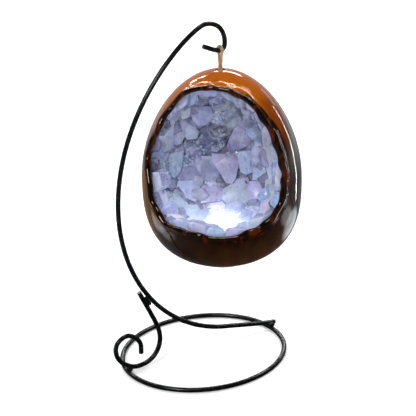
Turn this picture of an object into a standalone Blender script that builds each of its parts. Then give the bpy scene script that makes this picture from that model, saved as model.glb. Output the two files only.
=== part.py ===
# Hanging egg lamp: a glazed ceramic egg, open at the front and lined with crystal chips,
# hung by a twine loop from a bent wire stand, with a small battery light in its base.
# Metres, +Z up. The wire arm stands in the XZ plane; the egg faces -Y and a little to -X.
import math
import random

import bmesh
import bpy
from mathutils import Matrix, Vector

# Clearance between pieces that touch
gap = 0.0003

# Wire stand, measured to the centre of the wire
wire_radius = 0.0018
ring_half_length = 0.0634
ring_half_width = 0.0554
arm_set_back = 0.0057
tail_overhang = 0.0042
tail_heading = 172.0
sweep_reach = 0.0220
sweep_rise = 0.0143
sweep_heading = 168.0
bulge_reach = 0.0652
bulge_height = 0.1326
hang_reach = 0.0226
hang_height = 0.2396
crown_rise = 0.0223
crown_back = 0.0121
hook_bend = 0.0040
hook_tail_length = 0.0141
hook_tail_rise = 0.0059
hook_tail_heading = 156.0

# How far the arm's line pulls straight before and after each of its bends
tail_pull = 0.0080
sweep_pulls = (0.0140, 0.0530)
bulge_pulls = (0.0560, 0.0820)
crown_pull = 0.0105
hook_side_pull = 0.0090

# Scroll brace, from the place where it crosses the ring
brace_height = 0.0665
brace_heading = -65.0
brace_pull = 0.0320
scroll_inner = 0.0288
scroll_drop = 0.0216
scroll_foot = 0.0104
scroll_clear = 0.0012
scroll_seat_heading = 150.0
scroll_outer = 0.0090
scroll_crest = 0.0310
curl_inner = 0.0123
curl_side = 0.0192
curl_end = 0.0130

# Weld beads: long and thick along the wires, then how far they rise above the joint's middle
bead_long = 0.0027
bead_thick = 0.0018
bead_rise = 0.0004
brace_bead_long = 0.0043
foot_bead_turn = 30.0
brace_bead_turn = 62.0

# Egg; the hole in its crown lies behind its axis, over its centre of mass
egg_radius = 0.0590
crown_height = 0.0829
base_height = 0.0636
crown_fullness = 1.87
base_fullness = 2.80
wall = 0.0050
egg_turn = -37.0
hole_set_back = 0.0034
apex_hole_radius = 0.0036
twine_length = 0.0144

# Opening at the front, an uneven oval
opening_tilt = 16.0
opening_rise = 0.0113
opening_mean = 0.0522
lip_radius = 0.0026
lip_set_in = 0.0015

# Crystal lining
bowl_mouth = 0.0360
bowl_depth = 0.0500
bowl_fullness = 2.6
bed_wall = 0.0060
chip_height = 0.0105
chip_gap = 0.0006
chip_rows = [(0.0, 14), (0.40, 12), (0.73, 9), (0.955, 4)]
chip_deepest = 0.985
chip_slants = (2.0, 9.0)
facet_leans = [(3, 20), (22, 36), (24, 38), (26, 40)]
facet_levels = [1.0, 1.17, 1.22, 1.27]

# Twine
twine_radius = 0.0011
knot_radius = 0.0042

# Light in the base
module_radius = 0.0190
module_wall = 0.0012
module_height = 0.0145
flange_width = 0.0025
plate_thickness = 0.0024
deck_thickness = 0.0012
cell_radius = 0.0100
cell_thickness = 0.0032
cell_shoulder = 0.0006
cell_lid_inset = 0.0018
bay_wall = 0.0030
cover_ledge = 0.0021
groove_depth = 0.0010
lug_height = 0.0008
lug_width = 0.0036
lug_angle = 35.0
coin_slot_length = 0.0160
coin_slot_width = 0.0018
coin_slot_depth = 0.0010
contact_rise = 0.0012
contact_radius = 0.0060
contact_thickness = 0.0004
board_thickness = 0.0016
board_radius = 0.0130
emitter_size = 0.0050
emitter_height = 0.0014
lens_rise = 0.0035
lens_thickness = 0.0012
guide_radius = 0.0090
guide_forward = 0.0080
slider_travel = 0.0030
slider_length = 0.0044
slider_width = 0.0026
nub_length = 0.0024
nub_width = 0.0014
nub_drop = 0.0010
small_chamfer = 0.0003

# Facets of the round shapes
egg_sides = 40
egg_rows = 18
bowl_sides = 36
bowl_rows = 8
ring_sides = 48
module_sides = 28


for old in list(bpy.data.objects):
    bpy.data.objects.remove(old, do_unlink=True)

lamp = bpy.data.collections.new("egg_lamp")
cutters = bpy.data.collections.new("cutters")
bpy.context.scene.collection.children.link(lamp)
bpy.context.scene.collection.children.link(cutters)


def material(name, colour, roughness, metallic=0.0, glow=0.0):
    made = bpy.data.materials.new(name)
    made.use_nodes = True
    shader = made.node_tree.nodes["Principled BSDF"]
    shader.inputs["Base Color"].default_value = (*colour, 1.0)
    shader.inputs["Roughness"].default_value = roughness
    shader.inputs["Metallic"].default_value = metallic
    shader.inputs["Emission Color"].default_value = (*colour, 1.0)
    shader.inputs["Emission Strength"].default_value = glow
    return made


black_enamel = material("black_enamel", (0.010, 0.011, 0.011), 0.35)
weld_metal = material("weld_metal", (0.012, 0.012, 0.012), 0.55)
amber_glaze = material("amber_glaze", (0.150, 0.048, 0.010), 0.12)
jute = material("jute", (0.240, 0.140, 0.060), 0.9)
pale_resin = material("pale_resin", (0.420, 0.400, 0.520), 0.5)
amethyst = material("amethyst", (0.300, 0.300, 0.520), 0.2)
white_plastic = material("white_plastic", (0.750, 0.750, 0.720), 0.4)
steel = material("steel", (0.600, 0.600, 0.580), 0.3, 1.0)
board_green = material("board_green", (0.020, 0.120, 0.050), 0.5)
led_white = material("led_white", (0.900, 0.950, 1.000), 0.4, 0.0, 4.0)
clear_resin = material("clear_resin", (0.850, 0.880, 0.950), 0.1)
spring_brass = material("spring_brass", (0.700, 0.500, 0.200), 0.3, 1.0)


def place(name, mesh, finish, parent):
    thing = bpy.data.objects.new(name, mesh)
    lamp.objects.link(thing)
    thing.parent = parent
    mesh.materials.append(finish)
    return thing


def cutter(name, mesh, parent):
    thing = bpy.data.objects.new(name, mesh)
    cutters.objects.link(thing)
    thing.parent = parent
    thing.hide_render = True
    thing.display_type = "WIRE"
    return thing


def smooth(mesh, angle=35.0):
    mesh.shade_smooth()
    mesh.set_sharp_from_angle(angle=math.radians(angle))


def boolean(thing, other, operation="DIFFERENCE"):
    step = thing.modifiers.new(operation.lower() + "_" + other.name, "BOOLEAN")
    step.operation = operation
    step.object = other
    step.solver = "EXACT"


def finished(bm, name):
    bmesh.ops.recalc_face_normals(bm, faces=bm.faces)
    mesh = bpy.data.meshes.new(name)
    bm.to_mesh(mesh)
    bm.free()
    return mesh


def loft(name, rings):
    """Joins rings of points, each with as many, and closes both ends."""
    bm = bmesh.new()
    rows = [[bm.verts.new(point) for point in ring] for ring in rings]
    count = len(rows[0])
    for low, high in zip(rows, rows[1:]):
        for i in range(count):
            j = (i + 1) % count
            bm.faces.new((low[i], low[j], high[j], high[i]))
    bm.faces.new(list(reversed(rows[0])))
    bm.faces.new(rows[-1])
    return finished(bm, name)


def outline(name, profile):
    """A mesh line of (radius, height); both ends lie on the axis or the outline closes."""
    mesh = bpy.data.meshes.new(name)
    points = [(radius, 0.0, height) for radius, height in profile]
    edges = [(i, i + 1) for i in range(len(points) - 1)]
    if profile[0][0] > 0.0:
        edges.append((len(points) - 1, 0))
    mesh.from_pydata(points, edges, [])
    return mesh


def turn_round(thing, sides):
    screw = thing.modifiers.new("turn", "SCREW")
    screw.axis = "Z"
    screw.steps = sides
    screw.render_steps = sides
    screw.use_merge_vertices = True
    screw.merge_threshold = 0.00001
    screw.use_smooth_shade = True


def turned(name, profile, sides, finish, parent):
    thing = place(name, outline(name, profile), finish, parent)
    turn_round(thing, sides)
    return thing


def cylinder(name, radius, low, high, centre=(0.0, 0.0), sides=module_sides):
    bm = bmesh.new()
    middle_of_it = Matrix.Translation((centre[0], centre[1], 0.5 * (low + high)))
    bmesh.ops.create_cone(bm, cap_ends=True, segments=sides, radius1=radius, radius2=radius,
                          depth=high - low, matrix=middle_of_it)
    return finished(bm, name)


def block(name, size, centre, chamfer=0.0):
    bm = bmesh.new()
    shape = Matrix.Translation(centre) @ Matrix.Diagonal((*size, 1.0))
    bmesh.ops.create_cube(bm, size=1.0, matrix=shape)
    if chamfer:
        bmesh.ops.bevel(bm, geom=bm.edges[:], offset=chamfer, segments=1, affect="EDGES")
    return finished(bm, name)


def ball(name, radius, around, rings):
    bm = bmesh.new()
    bmesh.ops.create_uvsphere(bm, u_segments=around, v_segments=rings, radius=radius)
    return finished(bm, name)


def wire(name, points, radius, closed=False, resolution=2, swell=None):
    """A tube mesh along the points; swell gives each point its own share of the radius."""
    curve = bpy.data.curves.new(name, "CURVE")
    curve.dimensions = "3D"
    curve.bevel_depth = radius
    curve.bevel_resolution = resolution
    curve.use_fill_caps = not closed
    spline = curve.splines.new("POLY")
    spline.points.add(len(points) - 1)
    spline.use_cyclic_u = closed
    for i, point in enumerate(points):
        spline.points[i].co = (*point, 1.0)
        if swell:
            spline.points[i].radius = swell[i]
    path = bpy.data.objects.new(name + "_path", curve)
    lamp.objects.link(path)
    bpy.context.view_layer.update()
    seen = path.evaluated_get(bpy.context.evaluated_depsgraph_get())
    mesh = bpy.data.meshes.new_from_object(seen)
    bpy.data.objects.remove(path)
    bm = bmesh.new()
    bm.from_mesh(mesh)
    bmesh.ops.remove_doubles(bm, verts=bm.verts, dist=0.00001)
    bm.to_mesh(mesh)
    bm.free()
    mesh.name = name
    smooth(mesh, 50.0)
    return mesh


def frame(name, parent, where):
    empty = bpy.data.objects.new(name, None)
    lamp.objects.link(empty)
    empty.parent = parent
    empty.location = where
    return empty


def heading(degrees):
    return Vector((math.cos(math.radians(degrees)), math.sin(math.radians(degrees))))


def bent(anchors, step, least=5):
    """Points along a wire bent in a plane. An anchor is (place, heading, pull before, pull after)."""
    points = [Vector(anchors[0][0])]
    for (start, out, _, pull_out), (end, into, pull_in, _) in zip(anchors, anchors[1:]):
        a = Vector(start)
        d = Vector(end)
        b = a + heading(out) * pull_out
        c = d - heading(into) * pull_in
        length = (b - a).length + (c - b).length + (d - c).length
        count = max(least, round(length / step))
        for i in range(1, count + 1):
            t = i / count
            s = 1.0 - t
            points.append(a * s**3 + b * (3 * s * s * t) + c * (3 * s * t * t) + d * t**3)
    return points


# The whole lamp is moved so that its origin lies under the middle of its box
ring_crossing = ring_half_length * math.sqrt(1.0 - (arm_set_back / ring_half_width) ** 2)
turn_of_egg = math.radians(egg_turn)
egg_x = hang_reach + hole_set_back * math.sin(turn_of_egg)
egg_y = arm_set_back - hole_set_back * math.cos(turn_of_egg)
left_reach = ring_crossing + scroll_outer + wire_radius
right_reach = egg_x + egg_radius
front_reach = max(ring_half_width + wire_radius, egg_radius - egg_y)
back_reach = max(ring_half_width + wire_radius, egg_radius + egg_y)
middle = Vector((0.5 * (right_reach - left_reach), 0.5 * (back_reach - front_reach), 0.0))
stand = frame("stand_frame", None, (-middle.x, -middle.y, 0.0))

# Ring: its ten-sided section stands on a flat
ring_resolution = 3
ring_level = wire_radius * math.cos(math.pi / (2 * ring_resolution + 4))
seat = 2.0 * wire_radius + gap


def in_arm_plane(points):
    return [(point.x, arm_set_back, point.y) for point in points]


def ring_points():
    turns = [2.0 * math.pi * i / ring_sides for i in range(ring_sides)]
    return [(ring_half_length * math.cos(a), ring_half_width * math.sin(a), ring_level) for a in turns]


def on_ring(side, lean):
    """A wire centre that rests on the ring at its left (-1) or right (1) end."""
    return Vector((side * ring_crossing, ring_level)) + heading(lean) * seat


tail_seat = on_ring(1, tail_heading - 90.0)
hang = Vector((hang_reach, hang_height))
hook_pull = 0.8 * hook_bend
arm_anchors = [
    (tail_seat - heading(tail_heading) * tail_overhang, tail_heading, 0.0, 0.5 * tail_overhang),
    (tail_seat, tail_heading, 0.5 * tail_overhang, tail_pull),
    ((sweep_reach, sweep_rise), sweep_heading, *sweep_pulls),
    ((-bulge_reach, bulge_height), 90.0, *bulge_pulls),
    (hang + Vector((-crown_back, crown_rise)), 0.0, crown_pull, crown_pull),
    (hang + Vector((hook_bend, 1.4 * hook_bend)), -90.0, hook_side_pull, hook_pull),
    (hang, 180.0, hook_pull, hook_pull),
    (hang + Vector((-hook_tail_length, hook_tail_rise)), hook_tail_heading, hook_pull, 0.0),
]
arm_path = bent(arm_anchors, 0.0062)

# The brace touches the arm's outer side at its top end and then leans away from it
arm_side = [i for i, point in enumerate(arm_path) if point.x < 0.0 and point.y < bulge_height]
touch = min(arm_side, key=lambda i: abs(arm_path[i].y - brace_height))
along = (arm_path[touch + 1] - arm_path[touch - 1]).normalized()
brace_top = arm_path[touch] + Vector((-along.y, along.x)) * (seat + 0.1 * gap)
scroll_pull = 0.5 * scroll_outer
scroll_x = -ring_crossing
brace_anchors = [
    (brace_top, brace_heading, 0.0, brace_pull),
    ((scroll_x + scroll_inner, scroll_drop), -90.0, 0.0080, 0.0080),
    ((scroll_x + scroll_foot, wire_radius + scroll_clear), 180.0, 0.0135, 0.0040),
    (on_ring(-1, scroll_seat_heading - 90.0), scroll_seat_heading, 0.0030, 0.0060),
    ((scroll_x - scroll_outer, scroll_drop), 90.0, 0.0080, 0.0060),
    ((scroll_x + 0.1 * scroll_outer, scroll_crest), 0.0, scroll_pull, scroll_pull),
    ((scroll_x + curl_inner, curl_side), -90.0, 0.0050, 0.0030),
    ((scroll_x + curl_inner, curl_end), -90.0, 0.0020, 0.0),
]
brace_path = bent(brace_anchors, 0.0038, 4)

place("base_ring", wire("base_ring", ring_points(), wire_radius, True, ring_resolution), black_enamel, stand)
place("stem_arm", wire("stem_arm", in_arm_plane(arm_path), wire_radius), black_enamel, stand)
place("scroll_brace", wire("scroll_brace", in_arm_plane(brace_path), wire_radius), black_enamel, stand)

# Weld beads lie in the corners between the wires, each cut to fit both
clear_radius = wire_radius + gap
clear_wires = {
    "ring": wire("ring_clear", ring_points(), clear_radius, True, ring_resolution),
    "arm": wire("arm_clear", in_arm_plane(arm_path), clear_radius),
    "brace": wire("brace_clear", in_arm_plane(brace_path), clear_radius),
}
clear = {}
for wire_name, clear_mesh in clear_wires.items():
    clear[wire_name] = cutter(wire_name + "_clear", clear_mesh, stand)


def weld(name, spot, length, turn, between):
    bm = bmesh.new()
    bmesh.ops.create_uvsphere(bm, u_segments=12, v_segments=7, radius=1.0)
    lean = Matrix.Rotation(math.radians(turn), 4, "Y")
    shape = lean @ Matrix.Diagonal((length, bead_thick, bead_thick, 1.0))
    where = Matrix.Translation((spot.x, arm_set_back - wire_radius, spot.y))
    bmesh.ops.transform(bm, matrix=where @ shape, verts=bm.verts)
    mesh = finished(bm, name)
    smooth(mesh)
    bead = place(name, mesh, weld_metal, stand)
    for other in between:
        boolean(bead, clear[other])


lift = Vector((0.0, bead_rise))
tail_mid = 0.5 * (tail_seat + Vector((ring_crossing, ring_level))) + lift
foot_mid = 0.5 * (on_ring(-1, scroll_seat_heading - 90.0) + Vector((-ring_crossing, ring_level))) + lift
brace_mid = 0.5 * (brace_path[2] + arm_path[touch - 1])
weld("tail_weld", tail_mid, bead_long, 0.0, ("ring", "arm"))
weld("foot_weld", foot_mid, bead_long, foot_bead_turn, ("ring", "brace"))
weld("brace_weld", brace_mid, brace_bead_long, brace_bead_turn, ("arm", "brace"))


# Egg: its frame's origin is on its axis at the widest level
def egg_profile(count, inset=0.0):
    """(radius, height) from the crown to the base, moved inwards square to the surface."""
    rim = []
    for i in range(count + 1):
        angle = math.radians(90.0 - 180.0 * i / count)
        top = angle > 0.0
        power = 2.0 / (crown_fullness if top else base_fullness)
        height = crown_height if top else base_height
        rise = height * abs(math.sin(angle)) ** power
        rim.append(Vector((egg_radius * abs(math.cos(angle)) ** power, rise if top else -rise)))
    rim[0].x = 0.0
    rim[-1].x = 0.0
    if inset == 0.0:
        return [(point.x, point.y) for point in rim]
    moved = []
    for i, point in enumerate(rim):
        before = rim[i - 1] if i else Vector((-rim[1].x, rim[1].y))
        after = rim[i + 1] if i < count else Vector((-rim[-2].x, rim[-2].y))
        one = (point - before).normalized()
        two = (after - point).normalized()
        out = (Vector((-one.y, one.x)) + Vector((-two.y, two.x))).normalized()
        even = inset / max(0.5, out.dot(Vector((-one.y, one.x))))
        moved.append(point - out * even)
    return [(max(0.0, point.x), point.y) for point in moved]


def egg_level(radius, height, fullness, inset=0.0):
    """How far the egg's surface stands from the widest level at a radius."""
    share = max(0.0, 1.0 - (radius / (egg_radius - inset)) ** fullness)
    return (height - inset) * share ** (1.0 / fullness)


# The knot bears on the inner edge of the hole in the crown, and the egg rocks about its middle
hole_reach = hole_set_back + apex_hole_radius
hole_edge = egg_level(hole_reach, crown_height, crown_fullness, wall)
knot_level = hole_edge - math.sqrt((knot_radius + gap) ** 2 - apex_hole_radius**2)
drop = twine_length + crown_height - knot_level
hanger = frame("knot_pivot", stand, (hang_reach, arm_set_back, hang_height - drop))
egg = frame("egg_frame", hanger, (0.0, 0.0, 0.0))
turn = Matrix.Rotation(turn_of_egg, 4, "Z")
egg.matrix_local = turn @ Matrix.Translation((0.0, -hole_set_back, -knot_level))

# Opening frame: forward leans up by the tilt, up leans back by it
tilt = math.radians(opening_tilt)
forward = Vector((0.0, -math.cos(tilt), math.sin(tilt)))
upward = Vector((0.0, math.sin(tilt), math.cos(tilt)))
sideways = Vector((1.0, 0.0, 0.0))


def opening_reach(angle):
    """The opening's uneven outline, as its reach from the middle at an angle."""
    reach = opening_mean
    reach += 0.0009 * math.sin(angle) - 0.0020 * math.cos(angle)
    reach -= 0.0009 * math.sin(2 * angle) + 0.0022 * math.cos(2 * angle)
    reach -= 0.0030 * math.sin(3 * angle) + 0.0007 * math.cos(4 * angle)
    return reach + 0.0004 * math.sin(5 * angle) - 0.0005 * math.sin(6 * angle)


def in_opening(angle, reach, depth):
    flat = sideways * (reach * math.cos(angle)) + upward * (opening_rise + reach * math.sin(angle))
    return flat + forward * depth


def bowl_share(depth, grow=0.0):
    """How much of the opening's reach the bowl keeps at a depth behind its mouth."""
    t = min(1.0, max(0.0, (bowl_mouth - depth) / (bowl_depth + grow)))
    return (1.0 - t**bowl_fullness) ** (1.0 / bowl_fullness)


def bowl(name, grow=0.0):
    """A mesh of the crystal bowl's space, run out straight through the opening."""
    rings = []
    depths = [2.0 * bowl_mouth, bowl_mouth]
    for i in range(1, bowl_rows + 1):
        t = math.sin(0.5 * math.pi * i / bowl_rows) if i < bowl_rows else 0.995
        depths.append(bowl_mouth - (bowl_depth + grow) * t)
    for depth in depths:
        ring = []
        for i in range(bowl_sides):
            angle = 2.0 * math.pi * i / bowl_sides
            ring.append(in_opening(angle, (opening_reach(angle) + grow) * bowl_share(depth, grow), depth))
        rings.append(ring)
    return loft(name, rings)


def outside(point, inset=0.0):
    radius = math.hypot(point.x, point.y) / (egg_radius - inset)
    if point.z > 0.0:
        return radius**crown_fullness + (point.z / (crown_height - inset)) ** crown_fullness - 1.0
    return radius**base_fullness + (-point.z / (base_height - inset)) ** base_fullness - 1.0


def rim_depth(angle, inset=0.0):
    """Where a line through the opening's outline meets the egg."""
    near = 0.0
    far = 2.0 * egg_radius
    for _ in range(40):
        half = 0.5 * (near + far)
        if outside(in_opening(angle, opening_reach(angle), half), inset) > 0.0:
            far = half
        else:
            near = half
    return near


# Shell: a turned wall, cut by the bowl, with a rolled lip round the opening
bowl_space = cutter("bowl_space", bowl("bowl_space"), egg)
shell = turned("egg_shell", egg_profile(egg_rows), egg_sides, amber_glaze, egg)
thickness = shell.modifiers.new("wall", "SOLIDIFY")
thickness.thickness = wall
thickness.offset = -1.0
thickness.use_even_offset = True
boolean(shell, bowl_space)

lip_count = 44
lip_angles = [2.0 * math.pi * i / lip_count for i in range(lip_count)]
lip_points = [in_opening(a, opening_reach(a), rim_depth(a, lip_set_in)) for a in lip_angles]
lip_swell = [0.87 + 0.07 * math.cos(a) + 0.10 * math.cos(2 * a) + 0.05 * math.sin(5 * a) for a in lip_angles]
lip = cutter("lip", wire("lip", lip_points, lip_radius, True, 2, lip_swell), egg)
boolean(shell, lip, "UNION")
lip_clear_radius = lip_radius + 1.2 * gap
lip_clear = cutter("lip_clear", wire("lip_clear", lip_points, lip_clear_radius, True, 2, lip_swell), egg)

module_top = -egg_level(module_radius + gap, base_height, base_fullness)
hole_low = -1.5 * base_height
hole_high = 1.5 * crown_height
apex_low = crown_height - 3.0 * wall
hole_middle = (0.0, hole_set_back)
apex_hole_mesh = cylinder("apex_hole", apex_hole_radius, apex_low, hole_high, hole_middle, 20)
apex_hole = cutter("apex_hole", apex_hole_mesh, egg)
base_hole = cutter("base_hole", cylinder("base_hole", module_radius + gap, hole_low, 0.7 * module_top), egg)
boolean(shell, apex_hole)
boolean(shell, base_hole)

# Twine loop over the hook, and the knot that holds it under the crown
hook_turn = wire_radius + gap + twine_radius
strand_gap = 1.15 * twine_radius
strand_end = knot_radius + 2.0 * gap
strand_steps = 7
bend_steps = 12
loop_points = []
for i in range(strand_steps):
    t = i / strand_steps
    width = strand_gap + (hook_turn - strand_gap) * t**2
    loop_points.append((0.0, -width, strand_end + (drop - strand_end) * t))
for i in range(bend_steps + 1):
    angle = math.pi * i / bend_steps
    loop_points.append((0.0, -hook_turn * math.cos(angle), drop + hook_turn * math.sin(angle)))
for x, y, z in reversed(loop_points[:strand_steps]):
    loop_points.append((x, -y, z))
place("twine_loop", wire("twine_loop", loop_points, twine_radius), jute, hanger)
knot_mesh = ball("twine_knot", knot_radius, 14, 9)
smooth(knot_mesh)
place("twine_knot", knot_mesh, jute, hanger)

# Light module, built up from the underside of its flange
floor_level = module_top - gap - plate_thickness
bay_inner = cell_radius + 2.0 * gap
bay_outer = bay_inner + bay_wall
cover_hole = bay_inner + cover_ledge
bay_top = plate_thickness + 2.0 * (cell_thickness + gap) + contact_rise
deck_top = bay_top + deck_thickness
inner_wall = module_radius - module_wall
module = frame("module_frame", egg, (0.0, 0.0, floor_level))
housing = turned("led_housing", [
    (0.0, deck_top), (bay_outer, deck_top), (bay_outer, plate_thickness), (inner_wall, plate_thickness),
    (inner_wall, module_height), (module_radius, module_height), (module_radius, plate_thickness),
    (module_radius + flange_width, plate_thickness), (module_radius + flange_width, 0.0),
    (cover_hole, 0.0), (cover_hole, plate_thickness), (bay_inner, plate_thickness),
    (bay_inner, bay_top), (0.0, bay_top),
], module_sides, white_plastic, module)

# The cover turns in a groove of the plate and comes out at two notches
groove_low = 0.5 * (plate_thickness - lug_height) - gap
groove_high = 0.5 * (plate_thickness + lug_height) + gap
groove_radius = cover_hole + groove_depth
groove = cutter("cover_groove", cylinder("cover_groove", groove_radius, groove_low, groove_high), module)
boolean(housing, groove)
notch_size = (2.0 * groove_radius - gap, lug_width + 4.0 * gap, 2.0 * groove_high)
notch = cutter("cover_notches", block("cover_notches", notch_size, (0.0, 0.0, 0.0)), module)
boolean(housing, notch)

cover_radius = cover_hole - gap
cover_mesh = cylinder("battery_cover", cover_radius, 0.0, plate_thickness - gap)
cover = place("battery_cover", cover_mesh, white_plastic, module)
lug_size = (2.0 * (groove_radius - gap), lug_width, lug_height)
lugs = cutter("cover_lugs", block("cover_lugs", lug_size, (0.0, 0.0, 0.5 * plate_thickness)), module)
lugs.rotation_euler = (0.0, 0.0, math.radians(lug_angle))
boolean(cover, lugs, "UNION")
coin_slot_size = (coin_slot_length, coin_slot_width, 2.0 * coin_slot_depth)
coin_slot = cutter("coin_slot", block("coin_slot", coin_slot_size, (0.0, 0.0, 0.0)), module)
boolean(cover, coin_slot)


def coin_cell(name, low):
    """A button cell: a can with its smaller lid on top."""
    lid = cell_radius - cell_lid_inset
    high = low + cell_thickness
    shoulder = high - cell_shoulder
    turned(name, [(0.0, high), (lid, high), (lid, shoulder), (cell_radius - small_chamfer, shoulder),
                  (cell_radius, shoulder - small_chamfer), (cell_radius, low), (0.0, low)],
           24, steel, module)


coin_cell("coin_cell_1", plate_thickness)
coin_cell("coin_cell_2", plate_thickness + cell_thickness + gap)
contact_low = plate_thickness + 2.0 * (cell_thickness + gap)
contact_high = bay_top - gap
contact_neck = 0.5 * contact_radius
turned("cell_contact", [
    (0.0, contact_high), (contact_neck, contact_high), (contact_radius, contact_low + contact_thickness),
    (contact_radius, contact_low), (contact_neck, contact_high - contact_thickness),
    (0.0, contact_high - contact_thickness),
], 20, spring_brass, module)

# Board, emitter and lens
board_low = deck_top + gap
board_high = board_low + board_thickness
place("led_board", cylinder("led_board", board_radius, board_low, board_high), board_green, module)
emitter_middle = (0.0, 0.0, board_high + gap + 0.5 * emitter_height)
emitter_box = (emitter_size, emitter_size, emitter_height)
place("led_emitter", block("led_emitter", emitter_box, emitter_middle, small_chamfer), led_white, module)

lens_seat = module_height + gap
lens_inner = inner_wall - gap
lens_arc = 5
lens_profile = []
for i in range(lens_arc + 1):
    share = i / lens_arc
    lens_profile.append((module_radius * share, lens_seat + lens_thickness + lens_rise * (1.0 - share**2)))
lens_profile.append((module_radius, lens_seat))
for i in range(lens_arc + 1):
    share = 1.0 - i / lens_arc
    lens_profile.append((lens_inner * share, lens_seat + lens_rise * (1.0 - share**2)))
turned("diffuser_lens", lens_profile, module_sides, clear_resin, module)

# Switch slider: its body lies on the plate, its nub stands out through a slot
slide_radius = 0.5 * (bay_outer + inner_wall)
slot_size = (nub_width + 2.0 * gap, nub_length + slider_travel + 4.0 * gap, 3.0 * plate_thickness)
slot = cutter("switch_slot", block("switch_slot", slot_size, (slide_radius, 0.0, 0.0)), module)
boolean(housing, slot)
slider_y = -0.5 * slider_travel
slider_low = plate_thickness + gap
slider_middle = (slide_radius, slider_y, slider_low + 0.5 * slider_width)
slider_size = (slider_width, slider_length, slider_width)
slider_mesh = block("switch_slider", slider_size, slider_middle, small_chamfer)
slider = place("switch_slider", slider_mesh, white_plastic, module)
nub_high = slider_low + 0.5 * slider_width
nub_size = (nub_width, nub_length, nub_high + nub_drop)
nub_middle = (slide_radius, slider_y, 0.5 * (nub_high - nub_drop))
nub = cutter("switch_nub", block("switch_nub", nub_size, nub_middle), module)
boolean(slider, nub, "UNION")

# Light guide: a clear plug that carries the light up into the bowl
lens_top = floor_level + lens_seat + lens_thickness + lens_rise
guide_middle = (0.0, -guide_forward)
guide_mesh = cylinder("light_guide", guide_radius, lens_top + gap, 0.0, guide_middle)
guide = place("light_guide", guide_mesh, clear_resin, egg)
boolean(guide, bowl_space)
guide_hole_mesh = cylinder("guide_hole", guide_radius + gap, 1.5 * lens_top, 0.0, guide_middle)
guide_hole = cutter("guide_hole", guide_hole_mesh, egg)

# Crystal bed: a cast bowl that seats against the inside of the shell round the opening
inner_egg = cutter("inner_egg", outline("inner_egg", egg_profile(egg_rows, wall + gap)), egg)
turn_round(inner_egg, egg_sides)
pocket_radius = knot_radius + 8.0 * gap
pocket_low = knot_level - knot_radius - 4.0 * gap
pocket_mesh = cylinder("knot_pocket", pocket_radius, pocket_low, hole_high, hole_middle, 20)
knot_pocket = cutter("knot_pocket", pocket_mesh, egg)
bed = place("crystal_bed", bowl("crystal_bed", bed_wall), pale_resin, egg)
boolean(bed, inner_egg, "INTERSECT")
boolean(bed, bowl_space)
boolean(bed, guide_hole)
boolean(bed, knot_pocket)
boolean(bed, lip_clear)

# Crystal chips: each fills its own cell of the bowl's wall and narrows towards its tilted facets
chip_space = cutter("chip_space", bowl("chip_space", -gap), egg)
dice = random.Random(5)


def on_bowl(angle, share):
    """A point on the bowl's wall and the direction square to it, into the bowl."""
    def spot(a, t):
        depth = bowl_mouth - bowl_depth * t
        return in_opening(a, opening_reach(a) * bowl_share(depth), depth)
    here = spot(angle, share)
    round_it = spot(angle + 0.01, share) - spot(angle - 0.01, share)
    down_it = spot(angle, min(0.999, share + 0.01)) - spot(angle, share - 0.01)
    square = round_it.cross(down_it).normalized()
    middle_of_bowl = in_opening(0.0, 0.0, bowl_mouth - 0.4 * bowl_depth)
    if square.dot(middle_of_bowl - here) < 0.0:
        square = -square
    return here, square


def lip_back(angle):
    """The depth at which the back of the lip ends, over the width of a chip."""
    near = [rim_depth(angle + aside, wall) for aside in (-0.25, -0.12, 0.0, 0.12, 0.25)]
    return min(near) - 1.1 * lip_radius - gap


def slice_off(bm, point, normal):
    """Cuts away what lies beyond a plane and closes the cut."""
    geometry = bm.verts[:] + bm.edges[:] + bm.faces[:]
    bmesh.ops.bisect_plane(bm, geom=geometry, plane_co=point, plane_no=normal, clear_outer=True)
    bmesh.ops.remove_doubles(bm, verts=bm.verts[:], dist=0.00001)
    bmesh.ops.holes_fill(bm, edges=bm.edges[:], sides=0)


def chip(name, angle, here, square, neighbours):
    bm = bmesh.new()
    reach = 6.0 * chip_height
    bmesh.ops.create_cube(bm, size=reach, matrix=Matrix.Translation(here))
    for other in neighbours:
        apart = other - here
        if apart.length > reach:
            continue
        side = apart.normalized()
        in_plane = (square - side * side.dot(square)).normalized()
        half = here + apart * 0.5
        base = half - in_plane * ((half - here).dot(square) + gap) / max(0.3, in_plane.dot(square))
        slant = math.radians(dice.uniform(*chip_slants))
        slice_off(bm, base - side * chip_gap * 0.5, side * math.cos(slant) + in_plane * math.sin(slant))
    across = square.orthogonal().normalized()
    high = chip_height * dice.uniform(0.75, 1.15)
    first_turn = dice.uniform(0.0, 360.0)
    for facet, (leans, level) in enumerate(zip(facet_leans, facet_levels)):
        bearing = math.radians(first_turn + 97.0 * facet + dice.uniform(-25.0, 25.0))
        around = Matrix.Rotation(bearing, 3, square) @ across
        lean = math.radians(dice.uniform(*leans))
        slice_off(bm, here + square * high * level, square * math.cos(lean) + around * math.sin(lean))
    slice_off(bm, forward * lip_back(angle), forward)
    boolean(place(name, finished(bm, name), amethyst, egg), chip_space, "INTERSECT")


seeds = []
for row, (share, count) in enumerate(chip_rows):
    for i in range(count):
        angle = 2.0 * math.pi * (i + 0.5 * (row % 2) + dice.uniform(-0.18, 0.18)) / count
        first = (bowl_mouth - lip_back(angle) + 0.85 * chip_height) / bowl_depth
        nudge = dice.uniform(-0.02, 0.02)
        down = min(chip_deepest, first + (1.0 - first) * share + nudge)
        seeds.append((angle, *on_bowl(angle, down)))
places = [here for _, here, _ in seeds]
for k, (angle, here, square) in enumerate(seeds):
    chip(f"crystal_{k + 1:02d}", angle, here, square, places[:k] + places[k + 1:])
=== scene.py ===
# Hanging egg lamp: a glazed egg lined with amethyst chips, on a bent wire stand.
import math
import random
from math import cos, pi, radians, sin

import bmesh
import bpy
from mathutils import Matrix, Vector, kdtree, noise


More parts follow.
